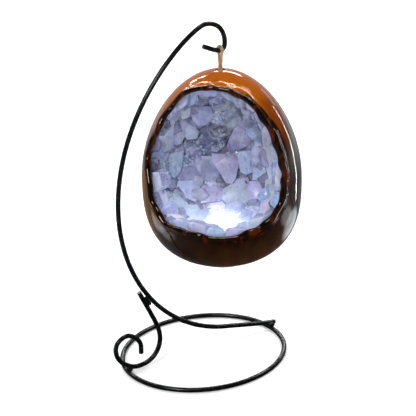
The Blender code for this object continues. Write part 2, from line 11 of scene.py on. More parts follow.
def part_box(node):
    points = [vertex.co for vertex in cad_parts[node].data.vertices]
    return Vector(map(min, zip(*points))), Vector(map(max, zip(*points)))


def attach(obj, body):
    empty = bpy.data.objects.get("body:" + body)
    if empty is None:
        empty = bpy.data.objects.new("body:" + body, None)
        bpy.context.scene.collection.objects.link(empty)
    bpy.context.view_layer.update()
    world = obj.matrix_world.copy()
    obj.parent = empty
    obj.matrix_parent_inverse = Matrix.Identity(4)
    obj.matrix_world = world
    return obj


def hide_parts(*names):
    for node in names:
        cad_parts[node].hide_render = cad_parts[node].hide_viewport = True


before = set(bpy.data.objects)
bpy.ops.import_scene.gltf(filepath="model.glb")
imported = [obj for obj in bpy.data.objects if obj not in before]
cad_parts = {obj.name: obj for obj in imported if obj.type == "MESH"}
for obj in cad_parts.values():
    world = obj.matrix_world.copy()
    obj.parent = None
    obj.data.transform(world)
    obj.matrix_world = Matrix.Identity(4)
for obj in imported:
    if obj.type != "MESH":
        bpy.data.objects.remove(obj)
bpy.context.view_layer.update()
print("frame loaded")

# camera of the photograph: a long lens from the front left and above
cameraSettings = {"place": (-0.68273, -1.17461, 0.7655), "target": (0.00198, -0.00522, 0.1223), "roll": -1.2,
                  "lens": 176.6, "sensor": 36, "clipStart": 0.01}


def setCamera(settings):
    looking = Vector(settings["target"]) - Vector(settings["place"])
    level = looking.to_track_quat("-Z", "Y").to_matrix()
    turned = level @ Matrix.Rotation(radians(settings["roll"]), 3, "Z")
    bpy.ops.object.camera_add(location=settings["place"], rotation=turned.to_euler())
    camera = bpy.context.object
    camera.data.lens = settings["lens"]
    camera.data.sensor_width = settings["sensor"]
    camera.data.clip_start = settings["clipStart"]
    bpy.context.scene.camera = camera


setCamera(cameraSettings)


def clearSelection():
    bpy.ops.object.select_all(action="DESELECT")


def useAlone(piece):
    clearSelection()
    piece.select_set(True)
    bpy.context.view_layer.objects.active = piece


def openMesh():
    bpy.ops.object.mode_set(mode="EDIT")
    bpy.ops.mesh.select_all(action="SELECT")


def closeMesh():
    bpy.ops.object.mode_set(mode="OBJECT")


# a piece drawn out ring by ring from a circle; rings that meet are merged, open ends are filled
def drawOut(name, rings):
    clearSelection()
    bpy.ops.mesh.primitive_circle_add(vertices=len(rings[0]), radius=0.001)
    piece = bpy.context.object
    piece.name = name
    openMesh()
    bpy.ops.mesh.select_mode(type="VERT")
    bpy.ops.mesh.select_all(action="SELECT")
    cage = bmesh.from_edit_mesh(piece.data)
    around = cage.verts.layers.int.new("around")
    for i, corner in enumerate(cage.verts):
        corner[around] = i
        corner.co = rings[0][i]
    for ring in rings[1:]:
        bpy.ops.mesh.extrude_region_move()
        cage = bmesh.from_edit_mesh(piece.data)
        around = cage.verts.layers.int["around"]
        for corner in cage.verts:
            if corner.select:
                corner.co = ring[corner[around]]
    bmesh.update_edit_mesh(piece.data)
    bpy.ops.mesh.select_all(action="SELECT")
    bpy.ops.mesh.remove_doubles(threshold=0.000004)
    bpy.ops.mesh.fill_holes(sides=0)
    bpy.ops.mesh.normals_make_consistent(inside=False)
    closeMesh()
    piece.data.attributes.remove(piece.data.attributes["around"])
    return piece


def smoothBy(piece, degrees):
    useAlone(piece)
    bpy.ops.object.shade_smooth_by_angle(angle=radians(degrees))


def applyAll(piece):
    useAlone(piece)
    for step in list(piece.modifiers):
        bpy.ops.object.modifier_apply(modifier=step.name)


def joinAll(pieces, name):
    clearSelection()
    for piece in pieces:
        piece.select_set(True)
    bpy.context.view_layer.objects.active = pieces[0]
    if len(pieces) > 1:
        bpy.ops.object.join()
    joined = bpy.context.object
    joined.name = name
    return joined


def cutWith(piece, cutter):
    step = piece.modifiers.new("cut", "BOOLEAN")
    step.operation = "DIFFERENCE"
    step.solver = "EXACT"
    step.object = cutter
    applyAll(piece)
    bpy.data.objects.remove(cutter)


def finishPiece(piece, finish, body, slot, *nodes):
    piece.data.materials.clear()
    piece.data.materials.append(finish)
    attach(piece, body)
    if nodes:
        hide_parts(*nodes)


# turns a direction round where it points away from another
def facing(direction, towards):
    return -direction if direction.dot(towards) < 0 else direction


def drawTogether(ring):
    return [sum(ring, Vector()) / len(ring)] * len(ring)


# rings of a tube along points, carried along without twisting
def tubeRings(points, radii, sides):
    rings = []
    side = None
    for i, point in enumerate(points):
        ahead = (points[min(i + 1, len(points) - 1)] - points[max(i - 1, 0)]).normalized()
        if side is None:
            side = ahead.orthogonal().normalized()
        side = (side - ahead * side.dot(ahead)).normalized()
        other = ahead.cross(side)
        radius = radii[i] if hasattr(radii, "__len__") else radii
        turns = [2 * pi * k / sides for k in range(sides)]
        rings.append([point + (side * cos(turn) + other * sin(turn)) * radius for turn in turns])
    return rings


# finishes are built of nodes on a bench, which holds the tree in hand and its surface shader
bench = {}


def fill(socket, value):
    if isinstance(value, bpy.types.NodeSocket):
        bench["tree"].links.new(value, socket)
    else:
        socket.default_value = value


def node(kind, inputs, **settings):
    made = bench["tree"].nodes.new("ShaderNode" + kind)
    for key, value in settings.items():
        setattr(made, key, value)
    for key, value in inputs.items():
        fill(made.inputs[key], value)
    return made


def feed(sockets):
    for key, value in sockets.items():
        fill(bench["shader"].inputs[key], value)


def newFinish(name, sockets):
    finish = bpy.data.materials.new(name)
    finish.use_nodes = True
    bench["tree"] = finish.node_tree
    bench["shader"] = finish.node_tree.nodes["Principled BSDF"]
    feed(sockets)
    return finish


def mixColours(share, first, second, blend="MIX"):
    return node("Mix", {0: share, 6: first, 7: second}, data_type="RGBA", blend_type=blend).outputs[2]


def ramp(factor, stops):
    made = node("ValToRGB", {"Fac": factor})
    ends = made.color_ramp.elements
    for end, (place, colour) in ((ends[0], stops[0]), (ends[1], stops[-1])):
        end.position = place
        end.color = colour
    for place, colour in stops[1:-1]:
        ends.new(place).color = colour
    return made.outputs["Color"]


def spread(value, low, high, newLow=0, newHigh=1):
    return node("MapRange", {0: value, 1: low, 2: high, 3: newLow, 4: newHigh}).outputs[0]


def compute(operation, first, second):
    return node("Math", {0: first, 1: second}, operation=operation).outputs[0]


def plus(first, second):
    return compute("ADD", first, second)


def times(first, second):
    return compute("MULTIPLY", first, second)


def vectors(operation, first, second=(0, 0, 0)):
    made = node("VectorMath", {0: first, 1: second}, operation=operation)
    return made.outputs["Value" if operation in ("LENGTH", "DISTANCE") else "Vector"]


def objectPlace():
    return node("TexCoord", {}).outputs["Object"]


def oneAxis(vector, name):
    return node("SeparateXYZ", {0: vector}).outputs[name]


def grain(scale, detail=3, stretch=(1, 1, 1), distortion=0):
    mapping = node("Mapping", {"Vector": objectPlace(), "Scale": stretch})
    inputs = {"Vector": mapping.outputs[0], "Scale": scale, "Detail": detail, "Distortion": distortion}
    return node("TexNoise", inputs).outputs["Fac"]


def cells(scale):
    return node("TexVoronoi", {"Vector": objectPlace(), "Scale": scale}).outputs


def bump(height, strength, distance):
    made = node("Bump", {"Height": height, "Strength": strength, "Distance": distance})
    feed({"Normal": made.outputs[0]})
    return made.outputs[0]


# black enamel, baked on: satin, with a fine orange peel and worn grey spots
enamelSettings = {"colour": (0.0016, 0.0019, 0.0021, 1), "worn": (0.006, 0.0066, 0.007, 1), "peel": 900}


def blackEnamel(settings):
    finish = newFinish("blackEnamel", {"Specular IOR Level": 0.5, "IOR": 1.45})
    mottle = grain(160, 4)
    feed({"Base Color": mixColours(spread(mottle, 0.52, 0.72), settings["colour"], settings["worn"]),
          "Roughness": spread(mottle, 0.3, 0.7, 0.2, 0.3)})
    bump(grain(settings["peel"], 2), 0.12, 0.0002)
    return finish


enamel = blackEnamel(enamelSettings)

# the stand is bent from one gauge of wire
standPlace = Vector((-0.0028451, -0.0023923, 0))
wire = {"radius": 0.0018, "sides": 20, "ringHalfLength": 0.0634, "ringHalfWidth": 0.0554, "ringSteps": 160,
        "armSetBack": 0.0057, "seat": 0.0039, "bulge": (-0.0652, 0.1326), "braceLevel": 0.0665,
        "hang": (0.0226, 0.2396), "step": 0.0012}


def heading(degrees):
    return Vector((cos(radians(degrees)), sin(radians(degrees))))


# points along a wire bent in a plane; a bend is (place, heading, pull before, pull after)
def bentWire(bends, step):
    points = [Vector(bends[0][0])]
    for (start, out, _, pullOut), (end, into, pullIn, _) in zip(bends, bends[1:]):
        a = Vector(start)
        d = Vector(end)
        b = a + heading(out) * pullOut
        c = d - heading(into) * pullIn
        length = (b - a).length + (c - b).length + (d - c).length
        count = max(6, round(length / step))
        for i in range(1, count + 1):
            t = i / count
            s = 1 - t
            points.append(a * s**3 + b * (3 * s * s * t) + c * (3 * s * t * t) + d * t**3)
    return points


# where the plane of the arm crosses the ring
crossing = wire["ringHalfLength"] * math.sqrt(1 - (wire["armSetBack"] / wire["ringHalfWidth"]) ** 2)


def onRing(side, lean):
    return Vector((side * crossing, wire["radius"])) + heading(lean) * wire["seat"]


tailSeat = onRing(1, 82)
hang = Vector(wire["hang"])
armBends = [
    (tailSeat - heading(172) * 0.0042, 172, 0, 0.0021),
    (tailSeat, 172, 0.0021, 0.008),
    ((0.022, 0.0143), 168, 0.014, 0.053),
    (wire["bulge"], 90, 0.056, 0.082),
    (hang + Vector((-0.0121, 0.0223)), 0, 0.0105, 0.0105),
    (hang + Vector((0.004, 0.0056)), -90, 0.009, 0.0032),
    (hang, 180, 0.0032, 0.0032),
    (hang + Vector((-0.0141, 0.0059)), 156, 0.0032, 0),
]
armPath = bentWire(armBends, wire["step"])
armSide = [i for i, point in enumerate(armPath) if point.x < 0 and point.y < wire["bulge"][1]]
touch = min(armSide, key=lambda i: abs(armPath[i].y - wire["braceLevel"]))
armAlong = (armPath[touch + 2] - armPath[touch - 2]).normalized()
braceTop = armPath[touch] + Vector((-armAlong.y, armAlong.x)) * wire["seat"]
braceBends = [
    (braceTop, -65, 0, 0.032),
    ((-crossing + 0.0288, 0.0216), -90, 0.008, 0.008),
    ((-crossing + 0.0104, 0.003), 180, 0.0135, 0.004),
    (onRing(-1, 60), 150, 0.003, 0.006),
    ((-crossing - 0.009, 0.0216), 90, 0.008, 0.006),
    ((-crossing + 0.0009, 0.031), 0, 0.0045, 0.0045),
    ((-crossing + 0.0123, 0.0192), -90, 0.005, 0.003),
    ((-crossing + 0.0123, 0.013), -90, 0.002, 0),
]
bracePath = bentWire(braceBends, 0.5 * wire["step"])


# a wire in the plane of the arm, cut square at both ends, its edges a little rounded
def cutWire(name, path):
    radius = wire["radius"]
    points = [standPlace + Vector((point.x, wire["armSetBack"], point.y)) for point in path]
    first = points[0].lerp(points[1], 0.3)
    last = points[-1].lerp(points[-2], 0.3)
    path = [points[0], first, *points[1:-1], last, points[-1]]
    radii = [0.86 * radius, radius, *[radius] * (len(points) - 2), radius, 0.86 * radius]
    piece = drawOut(name, tubeRings(path, radii, wire["sides"]))
    smoothBy(piece, 40)
    return piece


def baseRing(settings):
    length, width, radius = (settings[key] for key in ("ringHalfLength", "ringHalfWidth", "radius"))
    leans = [2 * pi * k / settings["sides"] for k in range(settings["sides"])]
    rings = []
    for i in range(settings["ringSteps"] + 1):
        turn = 2 * pi * (i % settings["ringSteps"]) / settings["ringSteps"]
        middle = standPlace + Vector((length * cos(turn), width * sin(turn), radius))
        out = Vector((cos(turn) / length, sin(turn) / width, 0)).normalized()
        rings.append([middle + (out * cos(lean) + Vector((0, 0, sin(lean)))) * radius for lean in leans])
    piece = drawOut("wireRing", rings)
    smoothBy(piece, 60)
    return piece


finishPiece(baseRing(wire), enamel, "stand", "black_enamel", "base_ring")
finishPiece(cutWire("wireArm", armPath), enamel, "stand", "black_enamel", "stem_arm")
finishPiece(cutWire("wireScroll", bracePath), enamel, "stand", "black_enamel", "scroll_brace")

# weld beads, lumpy under the enamel: (name, node, half sizes, turn)
weldSettings = {"lump": 0.00028, "lumpScale": 900, "beads": [
    ("tailWeld", "tail_weld", (0.0029, 0.0019, 0.0021), 0),
    ("footWeld", "foot_weld", (0.0028, 0.0019, 0.0019), 30),
    ("braceWeld", "brace_weld", (0.0046, 0.0017, 0.0018), 62),
]}


def middleOf(cadNode):
    low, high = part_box(cadNode)
    return 0.5 * (low + high)


def weldBead(name, cadNode, halfSizes, turn):
    clearSelection()
    bpy.ops.mesh.primitive_uv_sphere_add(segments=36, ring_count=20, radius=1)
    bead = bpy.context.object
    bead.name = name
    openMesh()
    bpy.ops.transform.resize(value=halfSizes)
    closeMesh()
    shape = Matrix.Translation(middleOf(cadNode)) @ Matrix.Rotation(radians(turn), 4, "Y")
    for corner in bead.data.vertices:
        out = corner.co.normalized()
        corner.co = shape @ corner.co
        corner.co += out * weldSettings["lump"] * noise.noise(corner.co * weldSettings["lumpScale"])
    smoothBy(bead, 60)
    return bead


for bead in weldSettings["beads"]:
    finishPiece(weldBead(*bead), enamel, "stand", "painted_weld", bead[1])
print("stand done")

# the glazed egg; its middle lies on its axis at the widest level
egg = {"place": (0.0177087, 0.0005923, 0.1423), "turn": -37, "radius": 0.059, "crown": 0.0829, "base": 0.0636,
       "crownFullness": 1.87, "baseFullness": 2.8, "wall": 0.005, "holeSetBack": 0.0034, "holeRadius": 0.0036,
       "baseHoleRadius": 0.0193, "around": 224, "inside": 24, "outside": 72}
opening = {"tilt": 16, "rise": 0.0113, "lip": 0.0026, "lipSetIn": 0.0015, "softness": 8, "wave": 0.0011}
# the wavy line of the lip: (degrees round the opening, reach in mm)
openingOutline = [
    (-177, 51.7), (-167, 51.1), (-158, 53), (-148, 55.2), (-139, 56), (-129, 55.9), (-117, 52.1),
    (-104, 48.9), (-94, 49.9), (-84, 51), (-75, 51.4), (-66, 51.5), (-58, 52.5), (-50, 53.6), (-43, 54.1),
    (-35, 53.9), (-29, 53), (-25, 51.9), (-16, 49.7), (-5, 48.1), (7, 46.6), (19, 46.4), (33, 47.1),
    (44, 48.3), (55, 50.8), (64, 53.2), (70, 54.6), (76, 55.7), (83, 56.8), (89, 57.6), (99, 57.7),
    (110, 58.5), (121, 56.3), (135, 53), (151, 50.7), (163, 51.3), (174, 52.1),
]
bowl = {"mouth": 0.036, "depth": 0.05, "fullness": 2.6, "around": 96, "rows": 30, "bed": 0.0048,
        "seam": 0.0004, "deepest": 0.9995, "behindLip": 0.0036, "lump": 0.0012, "lumpScale": 320}

eggPlace = Vector(egg["place"])
eggTurn = Matrix.Rotation(radians(egg["turn"]), 3, "Z")
tilt = radians(opening["tilt"])
forward = eggTurn @ Vector((0, -cos(tilt), sin(tilt)))
upward = eggTurn @ Vector((0, sin(tilt), cos(tilt)))
sideways = eggTurn @ Vector((1, 0, 0))


# how far the opening reaches one way, smoothed between the points of its outline
def outlineReach(degrees):
    total = weight = 0
    for place, reach in openingOutline:
        apart = (degrees - place + 180) % 360 - 180
        share = math.exp(-(apart / opening["softness"]) ** 2)
        total += share * reach
        weight += share
    return 0.001 * total / weight


reachTable = [outlineReach(degrees) for degrees in range(360)]


def openingReach(angle):
    degrees = math.degrees(angle) % 360
    before = int(degrees) % 360
    share = degrees - int(degrees)
    return reachTable[before] * (1 - share) + reachTable[(before + 1) % 360] * share


# a place given by the angle round the opening, the reach from its middle and the depth towards its front
def inOpening(angle, reach, depth):
    flat = sideways * (reach * cos(angle))
    flat += upward * (opening["rise"] + reach * sin(angle))
    return eggPlace + flat + forward * depth


def eggLevel(local, inset):
    top = local.z > 0
    power = egg["crownFullness" if top else "baseFullness"]
    height = egg["crown" if top else "base"] - inset
    radius = math.hypot(local.x, local.y) / (egg["radius"] - inset)
    return radius**power + (abs(local.z) / height) ** power, power


# how far beyond the egg's surface a point is: 0 on it, less than 0 inside
def beyondEgg(point, inset=0):
    return eggLevel(point - eggPlace, inset)[0] - 1


def onEgg(direction, inset=0):
    level, power = eggLevel(direction, inset)
    return eggPlace + direction * level ** (-1 / power)


def eggNormal(point):
    step = 0.00002
    slope = []
    for axis in range(3):
        aside = Vector((0, 0, 0))
        aside[axis] = step
        slope.append(beyondEgg(point + aside) - beyondEgg(point - aside))
    return Vector(slope).normalized()


# the depth at which the opening's outline meets the egg's surface
def rimDepth(angle, inset=0):
    near = 0
    far = 2 * egg["radius"]
    reach = openingReach(angle)
    for _ in range(24):
        half = 0.5 * (near + far)
        if beyondEgg(inOpening(angle, reach, half), inset) > 0:
            far = half
        else:
            near = half
    return near


# drips of glaze that hang from the lip: (angle, how far they stand out, width)
lipDrips = [(-12, 0.16, 4), (-24, 0.1, 3), (-47, 0.14, 5), (-66, 0.1, 4), (-96, 0.08, 5),
            (-118, 0.12, 4), (-139, 0.16, 5), (-163, 0.08, 4), (28, 0.06, 6), (146, 0.08, 5)]


def lipRadius(angle):
    swell = 0.87 + 0.07 * cos(angle) + 0.1 * cos(2 * angle) + 0.05 * sin(5 * angle)
    swell += 0.22 * noise.noise(Vector((cos(angle), sin(angle), 2)) * 7)
    for place, share, width in lipDrips:
        apart = (math.degrees(angle) - place + 180) % 360 - 180
        swell += share * math.exp(-(apart / width) ** 2)
    return opening["lip"] * swell


# how far out of the lip's middle line the dark glaze runs, round the opening; its extra width along the lower
# lip is painted shade under the lip
def darkBand(angle):
    right = max(0, cos(angle - 0.1))
    left = max(0, -cos(angle))
    low = max(0, -sin(angle))
    return 0.0008 + 0.008 * right**2 + 0.0026 * left + 0.003 * low


def eggShell(settings):
    around = settings["around"]
    back = eggTurn @ Vector((0, cos(tilt), -sin(tilt)))
    lipMiddles = []
    for i in range(around):
        angle = 2 * pi * i / around
        depth = rimDepth(angle, opening["lipSetIn"])
        round3 = Vector((cos(angle), sin(angle), 0))
        wave = opening["wave"] * noise.noise(round3 * 4.5)
        reach = openingReach(angle) + opening["wave"] * noise.noise(round3 * 6 + Vector((3, 0, 0)))
        lipMiddles.append(inOpening(angle, reach, depth + wave))
    openMiddle = sum(lipMiddles, Vector()) / around
    square = [eggNormal(point) for point in lipMiddles]
    away = []
    for i, point in enumerate(lipMiddles):
        along = (lipMiddles[(i + 1) % around] - lipMiddles[i - 1]).normalized()
        away.append(facing(along.cross(square[i]).normalized(), point - openMiddle))
    starts = [point + away[i] * 1.5 * opening["lip"] for i, point in enumerate(lipMiddles)]

    def lipRing(degrees, share=1):
        turn = radians(degrees)
        ring = []
        for i, point in enumerate(lipMiddles):
            radius = lipRadius(2 * pi * i / around) * share
            ring.append(point + (away[i] * cos(turn) + square[i] * sin(turn)) * radius)
        return ring

    # rings between the lip and the middle of the egg's back
    def eggRing(share, inset):
        ring = []
        for start in starts:
            direction = (start - eggPlace).normalized()
            hinge = direction.cross(back).normalized()
            turned = Matrix.Rotation(direction.angle(back) * share, 3, hinge) @ direction
            ring.append(onEgg(turned, inset))
        return ring

    # the wall from the middle of its back to the lip, the roll of the lip, and the outside to the back again
    steps = settings["inside"]
    rings = [eggRing(k / steps, settings["wall"]) for k in range(steps, -1, -1)]
    rings += [lipRing(degrees) for degrees in range(318, 44, -13)]
    rings += [lipRing(40, 1.12), lipRing(33, 1.32)]
    steps = settings["outside"]
    rings += [eggRing((k / steps) ** 1.15, 0) for k in range(steps + 1)]
    shell = drawOut("glazedShell", [drawTogether(rings[0]), *rings[1:-1], drawTogether(rings[-1])])
    crownHole = eggTurn @ Vector((0, settings["holeSetBack"], 0.9 * settings["crown"]))
    baseHole = Vector((0, 0, -settings["base"]))
    holes = ((crownHole, 48, settings["holeRadius"]), (baseHole, 96, settings["baseHoleRadius"]))
    for place, sides, radius in holes:
        clearSelection()
        bpy.ops.mesh.primitive_cylinder_add(vertices=sides, radius=radius, depth=0.03,
                                            location=eggPlace + place)
        cutWith(shell, bpy.context.object)
    # how near each point is to the lip, and how far outside its dark band, for the glaze
    tree = kdtree.KDTree(around)
    for i, point in enumerate(lipMiddles):
        tree.insert(point, i)
    tree.balance()
    paint = {"nearLip": [], "darkLip": []}
    for corner in shell.data.vertices:
        _, i, apart = tree.find(corner.co)
        outside = (corner.co - lipMiddles[i]).dot(away[i])
        paint["nearLip"].append(apart / opening["lip"])
        paint["darkLip"].append(1000 * (outside - darkBand(2 * pi * i / around)))
    for name, values in paint.items():
        shell.data.attributes.new(name, "FLOAT", "POINT").data.foreach_set("value", values)
    smoothBy(shell, 50)
    return shell


# amber glaze that broke to dark brown where it ran thick
glazeTints = {
    "amber": (0.34, 0.078, 0.0015, 1),
    "deepAmber": (0.18, 0.034, 0.0015, 1),
    "brown": (0.06, 0.013, 0.002, 1),
    "chocolate": (0.012, 0.0036, 0.0014, 1),
    "olive": (0.03, 0.012, 0.003, 1),
    "lip": (0.006, 0.002, 0.001, 1),
    "redEdge": (0.16, 0.026, 0.003, 1),
    "specularTint": (1, 0.76, 0.56, 1),
}
glazeStops = ((0, "brown"), (0.1, "olive"), (0.24, "chocolate"), (0.46, "chocolate"), (0.6, "brown"),
              (0.76, "deepAmber"), (0.9, "amber"))


def amberGlaze(tints):
    finish = newFinish("amberGlaze", {
        "IOR": 1.5, "Specular IOR Level": 0.5, "Specular Tint": tints["specularTint"],
    })
    place = objectPlace()
    # amber over the crown, brown under the shoulder and dark below, in streaks that run down the egg
    runs = grain(70, 4, (1, 1, 0.22), 0.6)
    level = plus(oneAxis(place, "Z"), spread(runs, 0.3, 0.7, -0.012, 0.012))
    level = plus(level, spread(grain(28), 0.3, 0.7, -0.007, 0.007))
    # the glaze is darker on the right of the egg than on its left
    side = spread(oneAxis(place, "X"), -0.04, 0.075, 0.016, -0.026)
    stops = [(height, tints[name]) for height, name in glazeStops]
    body = ramp(spread(plus(level, side), 0.08, 0.225), stops)
    near = node("Attribute", {}, attribute_name="nearLip").outputs["Fac"]
    dark = node("Attribute", {}, attribute_name="darkLip").outputs["Fac"]
    lipShare = spread(plus(dark, spread(runs, 0.3, 0.7, -1.1, 1.1)), 0.5, -0.5)
    glow = times(spread(grain(160, 3, (1, 1, 0.3), 0.8), 0.5, 0.75), 0.55)
    lipColour = mixColours(glow, tints["lip"], tints["redEdge"])
    # the glaze ran thin beside the lip on the right, and is duller there
    dull = times(spread(near, 3.6, 2.8), spread(oneAxis(place, "X"), 0.04, 0.056))
    dull = times(dull, spread(oneAxis(place, "Z"), 0.092, 0.105))
    rough = spread(grain(240, 2), 0.3, 0.7, 0.04, 0.08)
    feed({"Base Color": mixColours(lipShare, body, lipColour), "Roughness": plus(rough, times(dull, 0.3))})
    # gentle ripples just outside the lip and pinholes over the crown break the light up
    band = times(spread(near, 0.9, 1.3), spread(near, 3.4, 2.2))
    crownShare = spread(oneAxis(place, "Z"), 0.186, 0.204)
    rippled = plus(times(band, 0.15), times(crownShare, 0.07))
    ripples = times(grain(460, 1), plus(rippled, 0.01))
    pitted = mixColours(crownShare, (1, 1, 1, 1), spread(cells(470)["Distance"], 0.1, 0.24))
    height = plus(ripples, times(pitted, 0.12))
    bump(plus(height, times(grain(45, 2), 0.4)), 0.55, 0.0009)
    return finish


finishPiece(eggShell(egg), amberGlaze(glazeTints), "egg", "amber_glaze", "egg_shell")
print("shell done")


# the bowl behind the opening, which the crystals line
def bowlShare(depth, grow=0):
    t = min(1, max(0, (bowl["mouth"] - depth) / (bowl["depth"] + grow)))
    return (1 - t ** bowl["fullness"]) ** (1 / bowl["fullness"])


def onBowl(angle, share, grow=0):
    depth = bowl["mouth"] - (bowl["depth"] + grow) * share
    return inOpening(angle, (openingReach(angle) + grow) * bowlShare(depth, grow), depth)


# a bowl place and the direction square to its wall, towards the bowl's middle
def bowlSpot(angle, share):
    here = onBowl(angle, share)
    roundIt = onBowl(angle + 0.01, share) - onBowl(angle - 0.01, share)
    downIt = onBowl(angle, min(bowl["deepest"], share + 0.01)) - onBowl(angle, share - 0.01)
    middle = inOpening(0, 0, bowl["mouth"] - 0.4 * bowl["depth"])
    return here, facing(roundIt.cross(downIt).normalized(), middle - here)


def lipBack(angle):
    return min(rimDepth(angle + aside, bowl["behindLip"]) for aside in (-0.08, 0, 0.08))


def crystalBed(settings):
    rows, deepest, inset = settings["rows"], settings["deepest"], egg["wall"] + settings["seam"]
    rims = []
    for i in range(settings["around"]):
        angle = 2 * pi * i / settings["around"]
        rims.append((angle, (settings["mouth"] - lipBack(angle) - settings["seam"]) / settings["depth"]))
    rings = []
    # the back of the bed from its floor to the rim, then its lumpy face from the rim to the floor
    for grow, order in ((settings["bed"], range(rows, -1, -1)), (0, range(rows + 1))):
        for k in order:
            ring = []
            for angle, rim in rims:
                point = onBowl(angle, rim + (deepest - rim) * sin(0.5 * pi * k / rows), grow)
                if grow == 0:
                    out = (inOpening(0, 0, 0) - point).normalized()
                    point = point + out * settings["lump"] * noise.noise(point * settings["lumpScale"])
                if beyondEgg(point, inset) > 0:
                    point = onEgg((point - eggPlace).normalized(), inset)
                ring.append(point)
            rings.append(ring)
    bed = drawOut("crystalBed", [drawTogether(rings[0]), *rings[1:-1], drawTogether(rings[-1])])
    smoothBy(bed, 60)
    return bed


# the light comes up at the bowl's floor, in front of the module, and reaches further across than up
glowSettings = {"place": (0.007, -0.0226, -0.0376), "shrink": (0.62, 0.72, 1.38)}
glowPlace = eggPlace + eggTurn @ Vector(glowSettings["place"])


def glowShare(near, far, power=2):
    apart = vectors("MULTIPLY", vectors("SUBTRACT", objectPlace(), glowPlace), glowSettings["shrink"])
    return compute("POWER", spread(vectors("LENGTH", apart), far, near), power)


# the resin's glow near the light at the bowl's floor is painted light
def bedResin():
    finish = newFinish("bedResin", {"Roughness": 0.35, "Emission Color": (0.55, 0.65, 1, 1)})
    rough = grain(260, 4)
    feed({"Base Color": mixColours(spread(rough, 0.3, 0.7), (0.1, 0.09, 0.17, 1), (0.26, 0.25, 0.38, 1)),
          "Emission Strength": times(glowShare(0.004, 0.04), 0.8)})
    bump(rough, 0.6, 0.0008)
    return finish


finishPiece(crystalBed(bowl), bedResin(), "egg", "crystal_matrix", "crystal_bed")
print("bed done")

chipTints = {
    "paleBlue": (0.4, 0.47, 0.68),
    "lavender": (0.39, 0.4, 0.68),
    "pink": (0.34, 0.32, 0.54),
    "pinkDusk": (0.27, 0.24, 0.48),
    "pinkWarm": (0.39, 0.38, 0.6),
    "pale": (0.47, 0.52, 0.76),
    "grey": (0.29, 0.31, 0.44),
    "warm": (0.52, 0.51, 0.62),
    "dusk": (0.19, 0.19, 0.36),
    # dark is painted shade, for shards laid in the crevices and for chips under the shards
    "dark": (0.06, 0.055, 0.1),
    "column": (0.25, 0.27, 0.48),
    # cream, milk and white tint the shards low in the bowl by the light; their paleness is partly their own
    # and partly painted light
    "cream": (0.68, 0.67, 0.69),
    "milk": (0.9, 0.9, 0.91),
    "blue": (0.35, 0.43, 0.68),
    "white": (0.78, 0.84, 0.94),
    "glass": (0.44, 0.5, 0.74),
}
